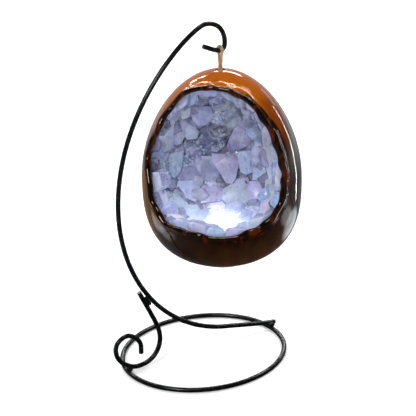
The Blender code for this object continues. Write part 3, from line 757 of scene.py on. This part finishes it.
# broad shards of amethyst that lie over the smaller chips: a tint, and then the corners, each of
# them across, up and depth in tenths of a mm
shardCorners = [
    ("grey", -259, 474, 104, -158, 512, 91, -87, 518, 70, -84, 448, 25, -143, 393, 13, -220, 403, 47),
    ("paleBlue", -232, 391, 11, -145, 398, -7, -81, 383, -25, -75, 314, -46, -112, 245, -56, -185, 238, -42,
     -227, 299, -15),
    ("warm", -295, 414, 98, -233, 456, 67, -230, 371, 30, -245, 310, 17, -286, 298, 43, -317, 362, 94),
    ("grey", -391, 330, 152, -306, 403, 127, -285, 306, 50, -347, 287, 89, -386, 298, 128),
    ("pale", -399, 307, 142, -339, 310, 94, -359, 148, 43, -408, 97, 62, -460, 126, 116, -442, 233, 146),
    ("lavender", -346, 296, 37, -263, 306, -11, -250, 231, -29, -299, 120, -12, -340, 100, 11, -374, 139, 36),
    ("pale", -256, 262, -14, -199, 238, -41, -171, 191, -61, -200, 146, -57, -264, 141, -33, -292, 195, -12),
    ("dusk", -408, 105, 5, -303, 130, -50, -275, 84, -62, -309, 26, -42, -400, 45, 4),
    ("blue", -472, 113, 132, -396, 102, 38, -409, 44, 52, -472, 1, 129, -504, 36, 169),
    ("blue", -384, 39, 12, -287, 64, -43, -293, -10, -39, -306, -91, -31, -348, -149, -7, -390, -102, 16,
     -404, -19, 24),
    ("glass", -470, 3, 87, -404, 41, 26, -382, -41, 21, -401, -112, 47, -462, -70, 91),
    ("glass", -291, 135, -68, -175, 157, -97, -102, 104, -118, -102, 21, -122, -196, -8, -99, -283, 38, -74),
    ("glass", -312, 16, -65, -234, 43, -98, -204, -16, -100, -230, -82, -80, -302, -80, -54),
    ("lavender", -218, 0, -91, -167, 21, -105, -149, -171, -94, -200, -186, -81, -230, -89, -81),
    ("column", -166, 15, -95, -92, 16, -103, -32, -88, -107, -1, -169, -108, -148, -178, -90),
    ("pinkDusk", -301, -71, -44, -199, -56, -67, -169, -161, -69, -241, -190, -51, -336, -175, -31),
    ("pale", -342, -166, -25, -168, -159, -60, -156, -267, -35, -191, -318, -15, -265, -289, -9,
     -347, -231, -8),
    ("glass", -492, -78, 143, -427, -57, 73, -373, -122, 29, -384, -200, 54, -442, -222, 117,
     -489, -180, 158),
    ("grey", -395, -137, 32, -347, -148, -3, -339, -207, 3, -386, -210, 40),
    ("warm", -480, -214, 173, -394, -217, 89, -374, -315, 124, -390, -375, 173, -454, -299, 195),
    ("pale", -392, -247, 45, -337, -242, 16, -246, -321, 22, -228, -369, 43, -295, -414, 103,
     -389, -369, 120),
    ("dark", -343, -243, -35, -252, -300, -31, -156, -329, -43, -190, -363, -17, -279, -327, -10),
    ("paleBlue", -246, -329, 19, -172, -335, 12, -122, -408, 59, -200, -429, 86, -255, -389, 65),
    ("cream", -386, -363, 199, -289, -390, 154, -237, -419, 149, -277, -464, 239, -357, -426, 256),
    ("milk", -256, -415, 176, -164, -409, 148, -104, -470, 217, -187, -487, 258, -270, -463, 243),
    ("lavender", -162, -193, -82, -74, -177, -94, 10, -217, -78, 14, -287, -44, -73, -316, -25,
     -154, -325, -18),
    ("dusk", -67, -185, -98, 15, -183, -101, 2, -256, -85, -50, -250, -85),
    ("grey", -85, 506, 20, 42, 518, 39, 77, 450, 16, 38, 372, -21, -37, 353, -36, -89, 390, -27),
    ("warm", 73, 476, 51, 135, 497, 90, 179, 461, 88, 154, 404, 42, 99, 384, 6),
    ("pink", 54, 419, 3, 120, 383, -2, 194, 317, -17, 215, 241, -40, 177, 208, -55, 111, 267, -42,
     60, 335, -25),
    ("pale", 123, 416, 26, 183, 435, 52, 234, 353, 28, 210, 304, -1, 143, 355, 3),
    ("grey", 181, 472, 118, 218, 450, 117, 266, 366, 70, 241, 315, 17, 200, 401, 69),
    ("grey", 218, 358, 12, 271, 340, 33, 324, 238, 33, 278, 211, 4, 225, 275, -6),
    ("glass", -84, 350, -59, 20, 375, -56, 63, 314, -74, 62, 253, -91, -64, 235, -92, -107, 288, -76),
    ("dark", -64, 242, -94, 82, 259, -109, 61, 168, -116, -13, 144, -110, -79, 181, -99),
    ("pink", 95, 266, -55, 147, 245, -53, 199, 171, -58, 200, 118, -65, 125, 70, -78, 43, 37, -89,
     20, 89, -84, 50, 166, -71),
    ("dusk", 190, 176, -76, 235, 148, -73, 236, 72, -84, 176, 62, -95, 160, 99, -91),
    ("paleBlue", 213, 253, -62, 266, 219, -46, 291, 80, -36, 309, -45, -28, 233, -50, -49, 208, 60, -59,
     230, 143, -55),
    ("warm", 277, 218, 1, 332, 239, 39, 371, 124, 52, 294, 107, -1),
    ("warm", 293, 106, -11, 379, 133, 63, 419, 26, 82, 412, -35, 68, 310, -35, -15),
    ("glass", -131, 157, -105, -13, 151, -113, 24, 107, -120, -58, 37, -124, -132, 66, -116),
    ("pinkWarm", -91, 40, -93, 35, 36, -94, 94, 52, -98, 118, -28, -85, 99, -138, -65, 71, -182, -57,
     26, -176, -57, -82, -18, -83),
    ("paleBlue", 110, 54, -82, 199, 72, -78, 237, 13, -79, 231, -92, -84, 171, -117, -88, 126, -96, -89,
     111, -21, -86),
    ("dark", 94, -93, -117, 131, -92, -115, 177, -120, -112, 95, -168, -114),
    ("blue", 223, -47, -80, 307, -40, -46, 331, -97, -34, 301, -144, -45, 217, -151, -79),
    ("pale", 308, -30, -31, 410, -16, 46, 419, -88, 56, 342, -129, -1),
    ("lavender", 196, -158, -69, 300, -139, -60, 319, -215, -27, 285, -280, -6, 210, -284, -17,
     177, -222, -46),
    ("warm", 311, -132, -19, 410, -91, 38, 437, -165, 88, 434, -255, 122, 334, -269, 54),
    ("paleBlue", 5, -221, -52, 70, -176, -65, 152, -181, -65, 198, -230, -53, 201, -295, -36, 136, -347, -22,
     62, -356, -18, 1, -293, -33),
    ("lavender", 82, -150, -95, 186, -132, -94, 211, -195, -71, 153, -226, -65, 84, -207, -76),
    ("dusk", 172, -302, -31, 239, -277, -24, 294, -307, 13, 276, -369, 46, 215, -374, 28),
    ("warm", 295, -273, 35, 427, -255, 125, 416, -315, 168, 345, -383, 169, 280, -360, 97),
    ("pale", 248, -351, 66, 318, -364, 115, 324, -420, 175, 262, -414, 136, 220, -380, 80),
    ("white", -138, -323, -8, 1, -308, -34, 56, -347, -11, 10, -414, 45, -106, -422, 64),
    ("white", 51, -351, 14, 138, -342, 5, 225, -391, 59, 180, -442, 115, 62, -445, 117, -3, -397, 63),
    ("white", -117, -423, 101, -1, -401, 84, 71, -434, 134, 28, -497, 211, -84, -495, 197),
    ("white", 73, -439, 153, 174, -431, 134, 210, -470, 204, 114, -499, 263, 59, -478, 227),
    ("milk", 18, -466, 263, 106, -463, 264, 157, -493, 336, 59, -512, 369, -26, -494, 321),
    ("milk", 167, -430, 141, 271, -403, 155, 312, -421, 214, 236, -468, 252, 190, -468, 222),
    ("grey", -501, 16, 188, -457, 25, 135, -457, -58, 127, -495, -67, 172),
    ("dark", -82, 216, -70, -30, 247, -66, 75, 250, -60, 52, 181, -76, -30, 148, -80, -75, 170, -76),
    ("column", 219, 191, -63, 250, 201, -44, 273, 74, -57, 289, -46, -64, 251, -57, -84, 219, 69, -84),
    ("milk", -266, -421, 126, -183, -413, 71, -122, -457, 151, -133, -478, 248, -221, -466, 246),
    ("cream", -376, -384, 191, -300, -384, 87, -250, -428, 130, -277, -455, 276, -351, -421, 274),
    ("glass", -485, -108, 163, -427, -110, 43, -386, -173, 9, -410, -213, 49, -476, -188, 171),
]

shardSizes = {"under": 0.0075, "narrow": 0.93, "edge": 0.00025, "facets": 2, "leans": (8, 24), "points": 16,
              "pointRadius": (0.0005, 0.0013), "pointHeight": (0.0008, 0.0026)}
# chips under the shards take the covered tints, mostly dark: painted shade under the shards
chipSizes = {"height": 0.0072, "heights": (0.8, 1.1), "coveredHeight": 0.5, "shade": 0.38, "covered": 0.0085,
             "gap": 0.0003, "back": 0.0032, "edge": 0.00025, "fillApart": 0.0098, "fillTries": 2600,
             "block": 0.07, "reach": 0.026, "belowRim": 0.003, "lowest": 0.985, "slants": (1, 10),
             "facets": (((3, 15), 1), ((24, 40), 1.2), ((28, 46), 1.3)),
             "tints": ("lavender", "grey", "paleBlue", "pale", "blue", "pinkWarm"),
             "coveredShadeTints": ("dusk", "dark", "glass", "dusk")}
# how grainy the stones of a tint are
grainyTints = {"glass": 1, "dark": 0.7, "dusk": 0.7, "blue": 0.35, "column": 0.2, "others": 0.08}
dice = random.Random(11)


def anyWay():
    return Vector((dice.uniform(-1, 1), dice.uniform(-1, 1), dice.uniform(-1, 1)))


# cuts off what lies beyond a plane and closes the cut
def cutBeyond(point, normal):
    bpy.ops.mesh.select_all(action="SELECT")
    bpy.ops.mesh.bisect(plane_co=point, plane_no=normal, use_fill=True, clear_outer=True, threshold=0.00001)


# the light reaches the upper right of the bowl least
def shadeAt(place):
    local = place - eggPlace
    across = local.dot(sideways)
    up = local.dot(upward) - opening["rise"]
    high = min(1, max(0, (up + 0.005) / 0.03))
    right = min(1, max(0, (across + 0.035) / 0.03))
    return 1 - chipSizes["shade"] * high * right


def paintTint(piece, tint, place, low=0.92, high=1.08):
    shade = shadeAt(place)
    colour = [share * shade * dice.uniform(low, high) for share in chipTints[tint]]
    colour.append(grainyTints.get(tint, grainyTints["others"]))
    paint = piece.data.attributes.new("tint", "FLOAT_COLOR", "POINT")
    paint.data.foreach_set("color", colour * len(piece.data.vertices))


# rounds the edges of a cut piece, still open in edit mode, and paints it
def breakEdges(piece, tint, place, edge, degrees):
    bpy.ops.mesh.select_all(action="SELECT")
    bpy.ops.mesh.remove_doubles(threshold=0.00005)
    bpy.ops.mesh.bevel(offset=edge, segments=2, affect="EDGES", clamp_overlap=True)
    closeMesh()
    paintTint(piece, tint, place)
    smoothBy(piece, degrees)


knot = {"place": (0.0197549, 0.0033077, 0.2165823), "near": 0.025, "clear": 0.0047}
knotPlace = Vector(knot["place"])


# keeps a piece inside the shell, behind the lip and off the knot under the crown
def cutInside(place):
    local = place - eggPlace
    angle = math.atan2(local.dot(upward) - opening["rise"], local.dot(sideways))
    cutBeyond(eggPlace + forward * lipBack(angle), forward)
    for aside in (-0.16, 0, 0.16):
        turned = Matrix.Rotation(aside, 3, forward) @ local
        wallPlace = onEgg(turned.normalized(), egg["wall"] + chipSizes["gap"])
        cutBeyond(wallPlace, eggNormal(wallPlace))
    away = place - knotPlace
    if away.length < knot["near"]:
        cutBeyond(knotPlace + away.normalized() * knot["clear"], -away.normalized())


# a shard's outline in its place, its middle and the direction it faces
def shardTop(corners):
    top = []
    for across, up, depth in corners:
        flat = sideways * (0.0001 * across) + upward * (opening["rise"] + 0.0001 * up)
        top.append(eggPlace + flat + forward * (0.0001 * depth))
    middle = sum(top, Vector()) / len(top)
    square = Vector()
    for a, b in zip(top, top[1:] + top[:1]):
        square += (a - middle).cross(b - middle)
    return top, middle, facing(square.normalized(), forward)


# a slab under the outline
def shard(tint, corners, settings):
    top, middle, square = shardTop(corners)
    low = [middle + (corner - middle) * settings["narrow"] - square * settings["under"] for corner in top]
    piece = drawOut("shard", [low, top])
    useAlone(piece)
    openMesh()
    # sloping facets take off some of the edges
    for side in dice.sample(range(len(top)), settings["facets"]):
        edge = 0.5 * (top[side] + top[(side + 1) % len(top)])
        out = edge - middle
        out = (out - square * out.dot(square)).normalized()
        start = middle.lerp(edge, dice.uniform(0.4, 0.8))
        lean = radians(dice.uniform(*settings["leans"]))
        cutBeyond(start, square * cos(lean) + out * sin(lean))
    cutInside(middle)
    breakEdges(piece, tint, middle, settings["edge"], 30)
    return piece, middle


# a tuft of small six-sided points on a glassy shard
def crystalPoints(corners, settings):
    top, middle, square = shardTop(corners)
    pieces = []
    for _ in range(settings["points"]):
        shares = [dice.random() ** 2 for _ in top]
        start = sum((corner * share for corner, share in zip(top, shares)), Vector()) / sum(shares)
        tip = (square + anyWay() * 0.55).normalized()
        across = tip.orthogonal().normalized()
        other = tip.cross(across)
        radius = dice.uniform(*settings["pointRadius"])
        height = dice.uniform(*settings["pointHeight"])
        rings = []
        for rise, share in ((-0.0015, 1), (height, 0.92), (height + 0.9 * radius, 0)):
            ring = []
            for k in range(6):
                turn = radians(60 * k)
                out = (across * cos(turn) + other * sin(turn)) * radius * share
                ring.append(start + tip * rise + out)
            rings.append(ring)
        point = drawOut("point", rings)
        paintTint(point, dice.choice(["paleBlue", "blue", "glass", "dusk", "pale"]), middle, 0.85, 1.2)
        pieces.append(point)
    return joinAll(pieces, "points"), middle


# places for smaller chips all over the bowl; those under a shard are low, and mostly dark as painted shade
# under the shards
def fillSeeds(covers, settings):
    seeds = []
    for _ in range(settings["fillTries"]):
        angle = dice.uniform(-pi, pi)
        first = (bowl["mouth"] - lipBack(angle) + settings["belowRim"]) / bowl["depth"]
        here, square = bowlSpot(angle, dice.uniform(first, settings["lowest"]))
        if not seeds or min((here - seed[0]).length for seed in seeds) > settings["fillApart"]:
            covered = min((here - place).length for place in covers) < settings["covered"]
            height = dice.uniform(*settings["heights"])
            tint = dice.choice(settings["tints"])
            if covered:
                height *= settings["coveredHeight"]
                tint = dice.choice(settings["coveredShadeTints"])
            seeds.append((here, square, tint, height))
    return seeds


# a block cut back half way to each of its neighbours, with three broken faces on top
def crystalChip(seed, seeds, settings):
    here, square, tint, height = seed
    clearSelection()
    bpy.ops.mesh.primitive_cube_add(size=settings["block"], location=here)
    chip = bpy.context.object
    chip.location = (0, 0, 0)
    openMesh()
    bpy.ops.transform.translate(value=here)
    for other in seeds:
        apart = other[0] - here
        if other is seed or apart.length > settings["reach"]:
            continue
        side = apart.normalized()
        inPlane = (square - side * side.dot(square)).normalized()
        half = here + apart * 0.5
        base = half - inPlane * (half - here).dot(square) / max(0.3, inPlane.dot(square))
        slant = radians(dice.uniform(*settings["slants"]))
        cutBeyond(base - side * settings["gap"] * 0.5, side * cos(slant) + inPlane * sin(slant))
    cutBeyond(here - square * settings["back"], -square)
    cutInside(here)
    across = square.orthogonal().normalized()
    high = settings["height"] * height
    firstTurn = dice.uniform(0, 360)
    facets = [(radians(dice.uniform(*leans)), level) for leans, level in settings["facets"]]
    for i, (lean, level) in enumerate(facets):
        bearing = radians(firstTurn + 127 * i + dice.uniform(-25, 25))
        lower = Matrix.Rotation(bearing, 3, square) @ across
        cutBeyond(here + square * high * level, square * cos(lean) + lower * sin(lean))
    breakEdges(chip, tint, here, settings["edge"], 32)
    return chip


# where more of the light comes up between the chips: (place, how far it reaches, strength)
lightPools = [
    ((-0.011, -0.005, 0.114), 0.025, 0.34), ((0.012, -0.034, 0.1143), 0.022, 0.22),
    ((-0.0217, 0.022, 0.1396), 0.015, 0.18), ((0.0464, -0.0029, 0.1612), 0.013, 0.11),
    ((0.0284, 0.0196, 0.1784), 0.011, 0.16), ((0.05, -0.017, 0.143), 0.014, 0.07),
    ((-0.0277, 0.0122, 0.1279), 0.017, 0.32), ((-0.016, 0.0269, 0.1734), 0.018, 0.15),
    ((0.0024, 0.0259, 0.1893), 0.016, 0.13),
]


def amethyst():
    finish = newFinish("amethyst", {
        "IOR": 1.5, "Specular IOR Level": 0.4,
        "Subsurface Weight": 0.35, "Subsurface Radius": (0.8, 0.85, 1), "Subsurface Scale": 0.005,
    })
    painted = node("Attribute", {}, attribute_name="tint").outputs
    tint = painted["Color"]
    veil = grain(90, 4, distortion=1)
    streak = grain(380, 3, (1, 1, 0.25))
    facets = cells(700)["Color"]
    colour = mixColours(times(spread(veil, 0.36, 0.66), 0.45), tint, (0.62, 0.68, 0.9, 1))
    colour = mixColours(times(spread(streak, 0.46, 0.28), 0.45), colour, (0.12, 0.12, 0.28, 1))
    # grainy stones are made of small facets, lighter and darker, that lean every way and glint
    grainy = times(painted["Alpha"], spread(grain(150, 2), 0.4, 0.56))
    speck = spread(oneAxis(facets, "X"), 0, 1, 0.45, 1.5)
    shade = node("CombineXYZ", {"X": speck, "Y": speck, "Z": speck}).outputs[0]
    colour = mixColours(plus(grainy, 0.12), colour, shade, "MULTIPLY")
    rough = times(spread(veil, 0.3, 0.7, 0.16, 0.4), spread(grainy, 0, 1, 1, 0.35))
    # the light fills the chips near it and shows faintly in all of them
    strength = plus(times(glowShare(0.007, 0.024), 2.6), times(glowShare(0.01, 0.075, 1.4), 0.28))
    for place, far, level in lightPools:
        apart = vectors("DISTANCE", objectPlace(), place)
        strength = plus(strength, times(compute("POWER", spread(apart, far, 0.2 * far), 1.5), level))
    hue = mixColours(glowShare(0.01, 0.04), tint, (0.86, 0.93, 1, 1))
    hue = mixColours(0.35, hue, (0.8, 0.9, 1, 1))
    feed({"Base Color": colour, "Roughness": rough, "Emission Color": hue, "Emission Strength": strength})
    flat = bump(plus(veil, times(streak, 0.5)), 0.28, 0.0006)
    lean = node("VectorMath", {0: vectors("SUBTRACT", facets, (0.5, 0.5, 0.5)), "Scale": times(grainy, 1.3)},
                operation="SCALE").outputs[0]
    feed({"Normal": vectors("NORMALIZE", vectors("ADD", flat, lean))})
    return finish


# every shard and chip, with its place
made = []
covers = []
for tint, *places in shardCorners:
    corners = list(zip(places[0::3], places[1::3], places[2::3]))
    made.append(shard(tint, corners, shardSizes))
    covers.append(made[-1][1])
    if tint == "glass":
        made.append(crystalPoints(corners, shardSizes))
print("shards done")
seeds = fillSeeds(covers, chipSizes)
for seed in seeds:
    piece = crystalChip(seed, seeds, chipSizes)
    if len(piece.data.polygons) < 5:
        bpy.data.objects.remove(piece)
    else:
        made.append((piece, seed[0] + seed[1] * 0.004))
print("chips:", len(seeds))
# every node gets its nearest chip first, and the rest go to the node they are nearest to
cadChips = {name: middleOf(name) for name in (f"crystal_{number:02d}" for number in range(1, 40))}
groups = {}
free = list(made)
for name, middle in cadChips.items():
    nearest = min(free, key=lambda pair: (pair[1] - middle).length)
    groups[name] = [nearest[0]]
    free.remove(nearest)
for piece, place in free:
    name = min(cadChips, key=lambda key: (cadChips[key] - place).length)
    groups[name].append(piece)
stone = amethyst()
for name, members in groups.items():
    finishPiece(joinAll(members, "chips" + name[-2:]), stone, "egg", "pale_amethyst", name)
print("chips done")


# the light module, seen from below: the solids' own shapes with broken edges
def copyOfNode(name, cadNode, edge):
    piece = bpy.data.objects.new(name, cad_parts[cadNode].data.copy())
    bpy.context.scene.collection.objects.link(piece)
    useAlone(piece)
    openMesh()
    bpy.ops.mesh.remove_doubles(threshold=0.00001)
    bpy.ops.mesh.tris_convert_to_quads()
    closeMesh()
    if edge:
        step = piece.modifiers.new("edge", "BEVEL")
        step.width = edge
        step.segments = 2
        step.limit_method = "ANGLE"
        step.angle_limit = radians(40)
        applyAll(piece)
    smoothBy(piece, 40)
    return piece


# two kinds of flecked finish: (sockets, grain, darkest share, swing of the roughness, relief)
fleckKinds = {
    "plastic": ({"IOR": 1.49}, (700,), 0.88, 0.06, (0.15, 0.0002)),
    "metal": ({"Metallic": 1}, (900, 3, (0.08, 1, 1)), 0.8, 0.08, (0.1, 0.0001)),
}


def flecked(name, kind, colour, roughness):
    sockets, fleckSize, share, swing, relief = fleckKinds[kind]
    finish = newFinish(name, sockets)
    fleck = grain(*fleckSize)
    darker = [share * part for part in colour]
    feed({"Base Color": mixColours(fleck, (*darker, 1), (*colour, 1)),
          "Roughness": spread(fleck, 0.3, 0.7, roughness - swing, roughness + swing)})
    bump(fleck, *relief)
    return finish


def coolLight(name, strength, roughness):
    finish = newFinish(name, {"Base Color": (0.85, 0.9, 1, 1), "Emission Color": (0.8, 0.9, 1, 1)})
    fleck = grain(500, 2)
    feed({"Emission Strength": spread(fleck, 0.3, 0.7, 0.85 * strength, 1.1 * strength),
          "Roughness": spread(fleck, 0.3, 0.7, roughness, roughness + 0.1)})
    return finish


whitePlastic = flecked("whitePlastic", "plastic", (0.74, 0.73, 0.7), 0.42)
greyPlastic = flecked("greyPlastic", "plastic", (0.22, 0.22, 0.22), 0.4)
boardGreen = flecked("boardGreen", "plastic", (0.02, 0.12, 0.05), 0.45)
cellSteel = flecked("cellSteel", "metal", (0.62, 0.62, 0.6), 0.3)
springBrass = flecked("springBrass", "metal", (0.72, 0.52, 0.24), 0.32)
guideLight = coolLight("guideLight", 3, 0.2)
lensLight = coolLight("lensLight", 1.5, 0.4)
for name, cadNode, edge, finish, body, slot in (
    ("moduleHousing", "led_housing", 0.00025, whitePlastic, "egg", "white_plastic"),
    ("batteryCover", "battery_cover", 0.00025, whitePlastic, "cover", "white_plastic"),
    ("switchSlider", "switch_slider", 0, greyPlastic, "switch", "switch_plastic"),
):
    finishPiece(copyOfNode(name, cadNode, edge), finish, body, slot, cadNode)
# nodes carried over as they are
for cadNode, finish in (
    ("coin_cell_1", cellSteel), ("coin_cell_2", cellSteel), ("cell_contact", springBrass),
    ("led_board", boardGreen), ("led_emitter", lensLight), ("diffuser_lens", lensLight),
    ("light_guide", guideLight),
):
    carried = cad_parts[cadNode]
    carried.data.materials.clear()
    carried.data.materials.append(finish)
print("module done")

# jute loop over the hook, laid up from three plies, and its knot under the crown
twine = {"place": knotPlace, "drop": 0.0230177, "turn": 0.0032, "strand": 0.00108, "start": 0.0036,
         "strandSteps": 40, "bendSteps": 32, "plyRadius": 0.00062, "plyReach": 0.00056, "lay": 0.0052,
         "hairs": 90, "hairRadius": 0.00004, "hairStart": 0.0009, "hairReach": (0.0008, 0.0022),
         "knotSteps": 96, "knotReach": 0.00098, "knotRise": 0.0021, "knotRadius": 0.00125}


# up one strand, over the hook and down the other
def loopPath(settings):
    place, start, drop, turn = (settings[key] for key in ("place", "start", "drop", "turn"))
    strand = []
    for i in range(settings["strandSteps"]):
        t = i / settings["strandSteps"]
        width = settings["strand"] + (turn - settings["strand"]) * t**5
        strand.append(place + Vector((0, -width, start + (drop - start) * t)))
    bend = []
    for i in range(settings["bendSteps"] + 1):
        angle = pi * i / settings["bendSteps"]
        bend.append(place + Vector((0, -turn * cos(angle), drop + turn * sin(angle))))
    back = [Vector((point.x, 2 * place.y - point.y, point.z)) for point in reversed(strand)]
    return strand + bend + back


# three plies wound round a path, with loose hairs
def plies(name, path, settings):
    pieces = []
    frames = tubeRings(path, 1, 4)
    length = 0
    lengths = [0]
    for a, b in zip(path, path[1:]):
        length += (b - a).length
        lengths.append(length)
    for ply in range(3):
        points = []
        for i, point in enumerate(path):
            side = frames[i][0] - point
            other = frames[i][1] - point
            turn = 2 * pi * (lengths[i] / settings["lay"] + ply / 3)
            points.append(point + (side * cos(turn) + other * sin(turn)) * settings["plyReach"])
        radii = [settings["plyRadius"] * (1 + 0.1 * noise.noise(point * 700)) for point in points]
        pieces.append(drawOut(name + str(ply), tubeRings(points, radii, 10)))
    for _ in range(settings["hairs"]):
        i = dice.randrange(2, len(path) - 6)
        out = anyWay().normalized()
        along = (path[i + 1] - path[i]).normalized()
        out = (out - along * out.dot(along) * 0.5).normalized()
        start = path[i] + out * settings["hairStart"]
        reach = dice.uniform(*settings["hairReach"])
        tip = start + (out * 0.5 + along * dice.uniform(-1, 1)) * reach
        middle = start.lerp(tip, 0.5) + out * 0.2 * reach
        pieces.append(drawOut("hair", tubeRings([start, middle, tip], settings["hairRadius"], 3)))
    joined = joinAll(pieces, name)
    smoothBy(joined, 60)
    return joined


def juteFibre():
    finish = newFinish("juteFibre", {"Roughness": 0.85, "Sheen Weight": 0.3, "Sheen Roughness": 0.5})
    fibre = grain(900, 4, (1, 1, 0.35))
    colour = ramp(fibre, [
        (0.3, (0.13, 0.062, 0.024, 1)), (0.5, (0.34, 0.2, 0.095, 1)), (0.72, (0.62, 0.45, 0.27, 1)),
    ])
    feed({"Base Color": mixColours(spread(grain(150), 0.35, 0.65, 0, 0.5), colour, (0.66, 0.5, 0.32, 1))})
    bump(fibre, 0.8, 0.0004)
    return finish


jute = juteFibre()
finishPiece(plies("juteLoop", loopPath(twine), twine), jute, "twine", "jute_twine", "twine_loop")


def juteKnot(settings):
    place = settings["place"]
    reach = settings["knotReach"]
    path = []
    for i in range(settings["knotSteps"] + 1):
        t = 2 * pi * i / settings["knotSteps"]
        across = sin(t) + 1.7 * sin(2 * t)
        along = cos(t) - 1.7 * cos(2 * t)
        path.append(place + Vector((across * reach, along * reach, -sin(3 * t) * settings["knotRise"])))
    piece = drawOut("juteKnot", tubeRings(path, settings["knotRadius"], 12))
    smoothBy(piece, 60)
    return piece


finishPiece(juteKnot(twine), jute, "knot", "jute_twine", "twine_knot")
print("twine done")

# floor, light and background; a mirrored disc is (middle, near, far, level when near, level when far)
stage = {
    "floor": 6,
    "drop": 0.0001,
    "floorColour": (0.9, 0.9, 0.9, 1),
    "mirrored": [((0.02, -0.1, 0), 0.09, 0.26, 0.03, 0.24), ((-0.15, 0.165, 0), 0.075, 0.05, 0, 1.7),
                 ((-0.146, 0.09, 0), 0.06, 0.035, 0, 1.2), ((0.215, 0, 0), 0.075, 0.05, 0, 2.1),
                 ((0.245, -0.08, 0), 0.06, 0.035, 0, 1.6), ((0.9, 0.3, 0), 0.55, 0.25, 0, 0.55)],
    "warmPatch": ((-0.045, 0.29, 0), 0.17, 0.09, 0.22),
}


def paleFloor(settings):
    clearSelection()
    bpy.ops.mesh.primitive_plane_add(size=settings["floor"])
    floor = bpy.context.object
    floor.name = "floor"
    openMesh()
    bpy.ops.transform.translate(value=(0, 0, -settings["drop"]))
    closeMesh()
    finish = newFinish("paleFloor", {"Roughness": 0.9, "Specular IOR Level": 0})
    seen = node("LightPath", {}).outputs
    mirrored = seen["Is Glossy Ray"]
    place = objectPlace()
    # what the glaze mirrors: dim in front of the lamp, brighter behind it and on cards beside it
    level = spread(oneAxis(place, "Y"), 0.3, 0.9, 0, 0.4)
    for middle, *reach in settings["mirrored"]:
        level = plus(level, spread(vectors("DISTANCE", place, middle), *reach))
    middle, near, far, high = settings["warmPatch"]
    warm = spread(vectors("DISTANCE", place, middle), near, far)
    level = plus(level, times(warm, high))
    hue = mixColours(warm, (0.82, 0.91, 1, 1), (1, 0.66, 0.38, 1))
    direct = compute("MAXIMUM", seen["Is Camera Ray"], seen["Is Transmission Ray"])
    # the sweep stays white as far as it is seen
    shown = times(direct, spread(vectors("LENGTH", place), 0.45, 1.3, 0.22, 0.85))
    feed({"Base Color": mixColours(mirrored, settings["floorColour"], (0, 0, 0, 1)),
          "Emission Color": mixColours(mirrored, (1, 1, 1, 1), hue),
          "Emission Strength": plus(shown, times(mirrored, level))})
    floor.data.materials.append(finish)


paleFloor(stage)

# lamps: (name, one end, other end, width, power); each faces the middle of the egg
lampSettings = [
    ("softTop", (-0.25, -0.25, 1.6), (-0.05, -0.25, 1.6), 0.2, 3),
    ("keyLeft", (-1.25, -0.575, 1.05), (-1.05, -0.925, 1.05), 0.35, 11),
    ("stripRight", (0.3, 0.044, 0.235), (0.3, 0, 0.105), 0.003, 0.045),
    ("stripRightLow", (0.3, 0, 0.105), (0.3, 0.012, 0.004), 0.003, 0.035),
    ("cardRight", (0.9, -0.1, 1.05), (0.9, 0.16, 1.05), 0.26, 1.6),
    ("cardBehind", (1.16, 0.62, 0.24), (1.22, 0.54, 0.36), 0.22, 0.12),
    ("stripBack", (0.985, 0.765, 0.645), (0.477, 1.095, 0.753), 0.04, 3.2),
    ("stripBackLeft", (0.062, 1.243, 0.62), (0.236, 1.08, 0.912), 0.04, 2),
    ("stripOver", (0.04, 0.325, 1.15), (1.07, -0.157, 0.974), 0.06, 6),
    ("stripOverLeft", (-0.21, 1.15, 0.8), (0.04, 0.325, 1.15), 0.06, 4),
]


def setLamps(settings):
    middle = Vector((0.018, 0, 0.15))
    for name, first, last, width, power in settings:
        first, last = Vector(first), Vector(last)
        place = 0.5 * (first + last)
        along = (last - first).normalized()
        back = place - middle
        back = (back - along * back.dot(along)).normalized()
        bpy.ops.object.light_add(type="AREA", location=place)
        lamp = bpy.context.object
        lamp.name = name
        lamp.data.shape = "RECTANGLE"
        lamp.data.size = (last - first).length
        lamp.data.size_y = width
        lamp.data.energy = power
        lamp.rotation_euler = Matrix((along, back.cross(along), back)).transposed().to_euler()
        lamp.visible_camera = False


def setWorld():
    world = bpy.data.worlds.new("studio")
    bpy.context.scene.world = world
    world.use_nodes = True
    world.node_tree.nodes.clear()
    bench["tree"] = world.node_tree
    seen = node("LightPath", {}).outputs
    # for what the glaze mirrors, the white sweep stands behind the lamp and ends a little above it
    looking = node("TexCoord", {}).outputs["Generated"]
    behind = spread(oneAxis(looking, "Y"), 0.15, 0.7, 0.06, 0.55)
    above = spread(oneAxis(looking, "Z"), 0.25, 0.6, 1, 0.25)
    mirrored = times(times(behind, above), seen["Is Glossy Ray"])
    direct = compute("MAXIMUM", seen["Is Camera Ray"], seen["Is Transmission Ray"])
    shown = node("Background", {"Strength": plus(direct, mirrored)}).outputs[0]
    ambient = node("Background", {"Strength": 0.55}).outputs[0]
    either = compute("MAXIMUM", direct, seen["Is Glossy Ray"])
    mix = node("MixShader", {"Fac": either, 1: ambient, 2: shown})
    node("OutputWorld", {"Surface": mix.outputs[0]})


setLamps(lampSettings)
setWorld()
bpy.context.scene.view_settings.view_transform = "Standard"
print("stage done")
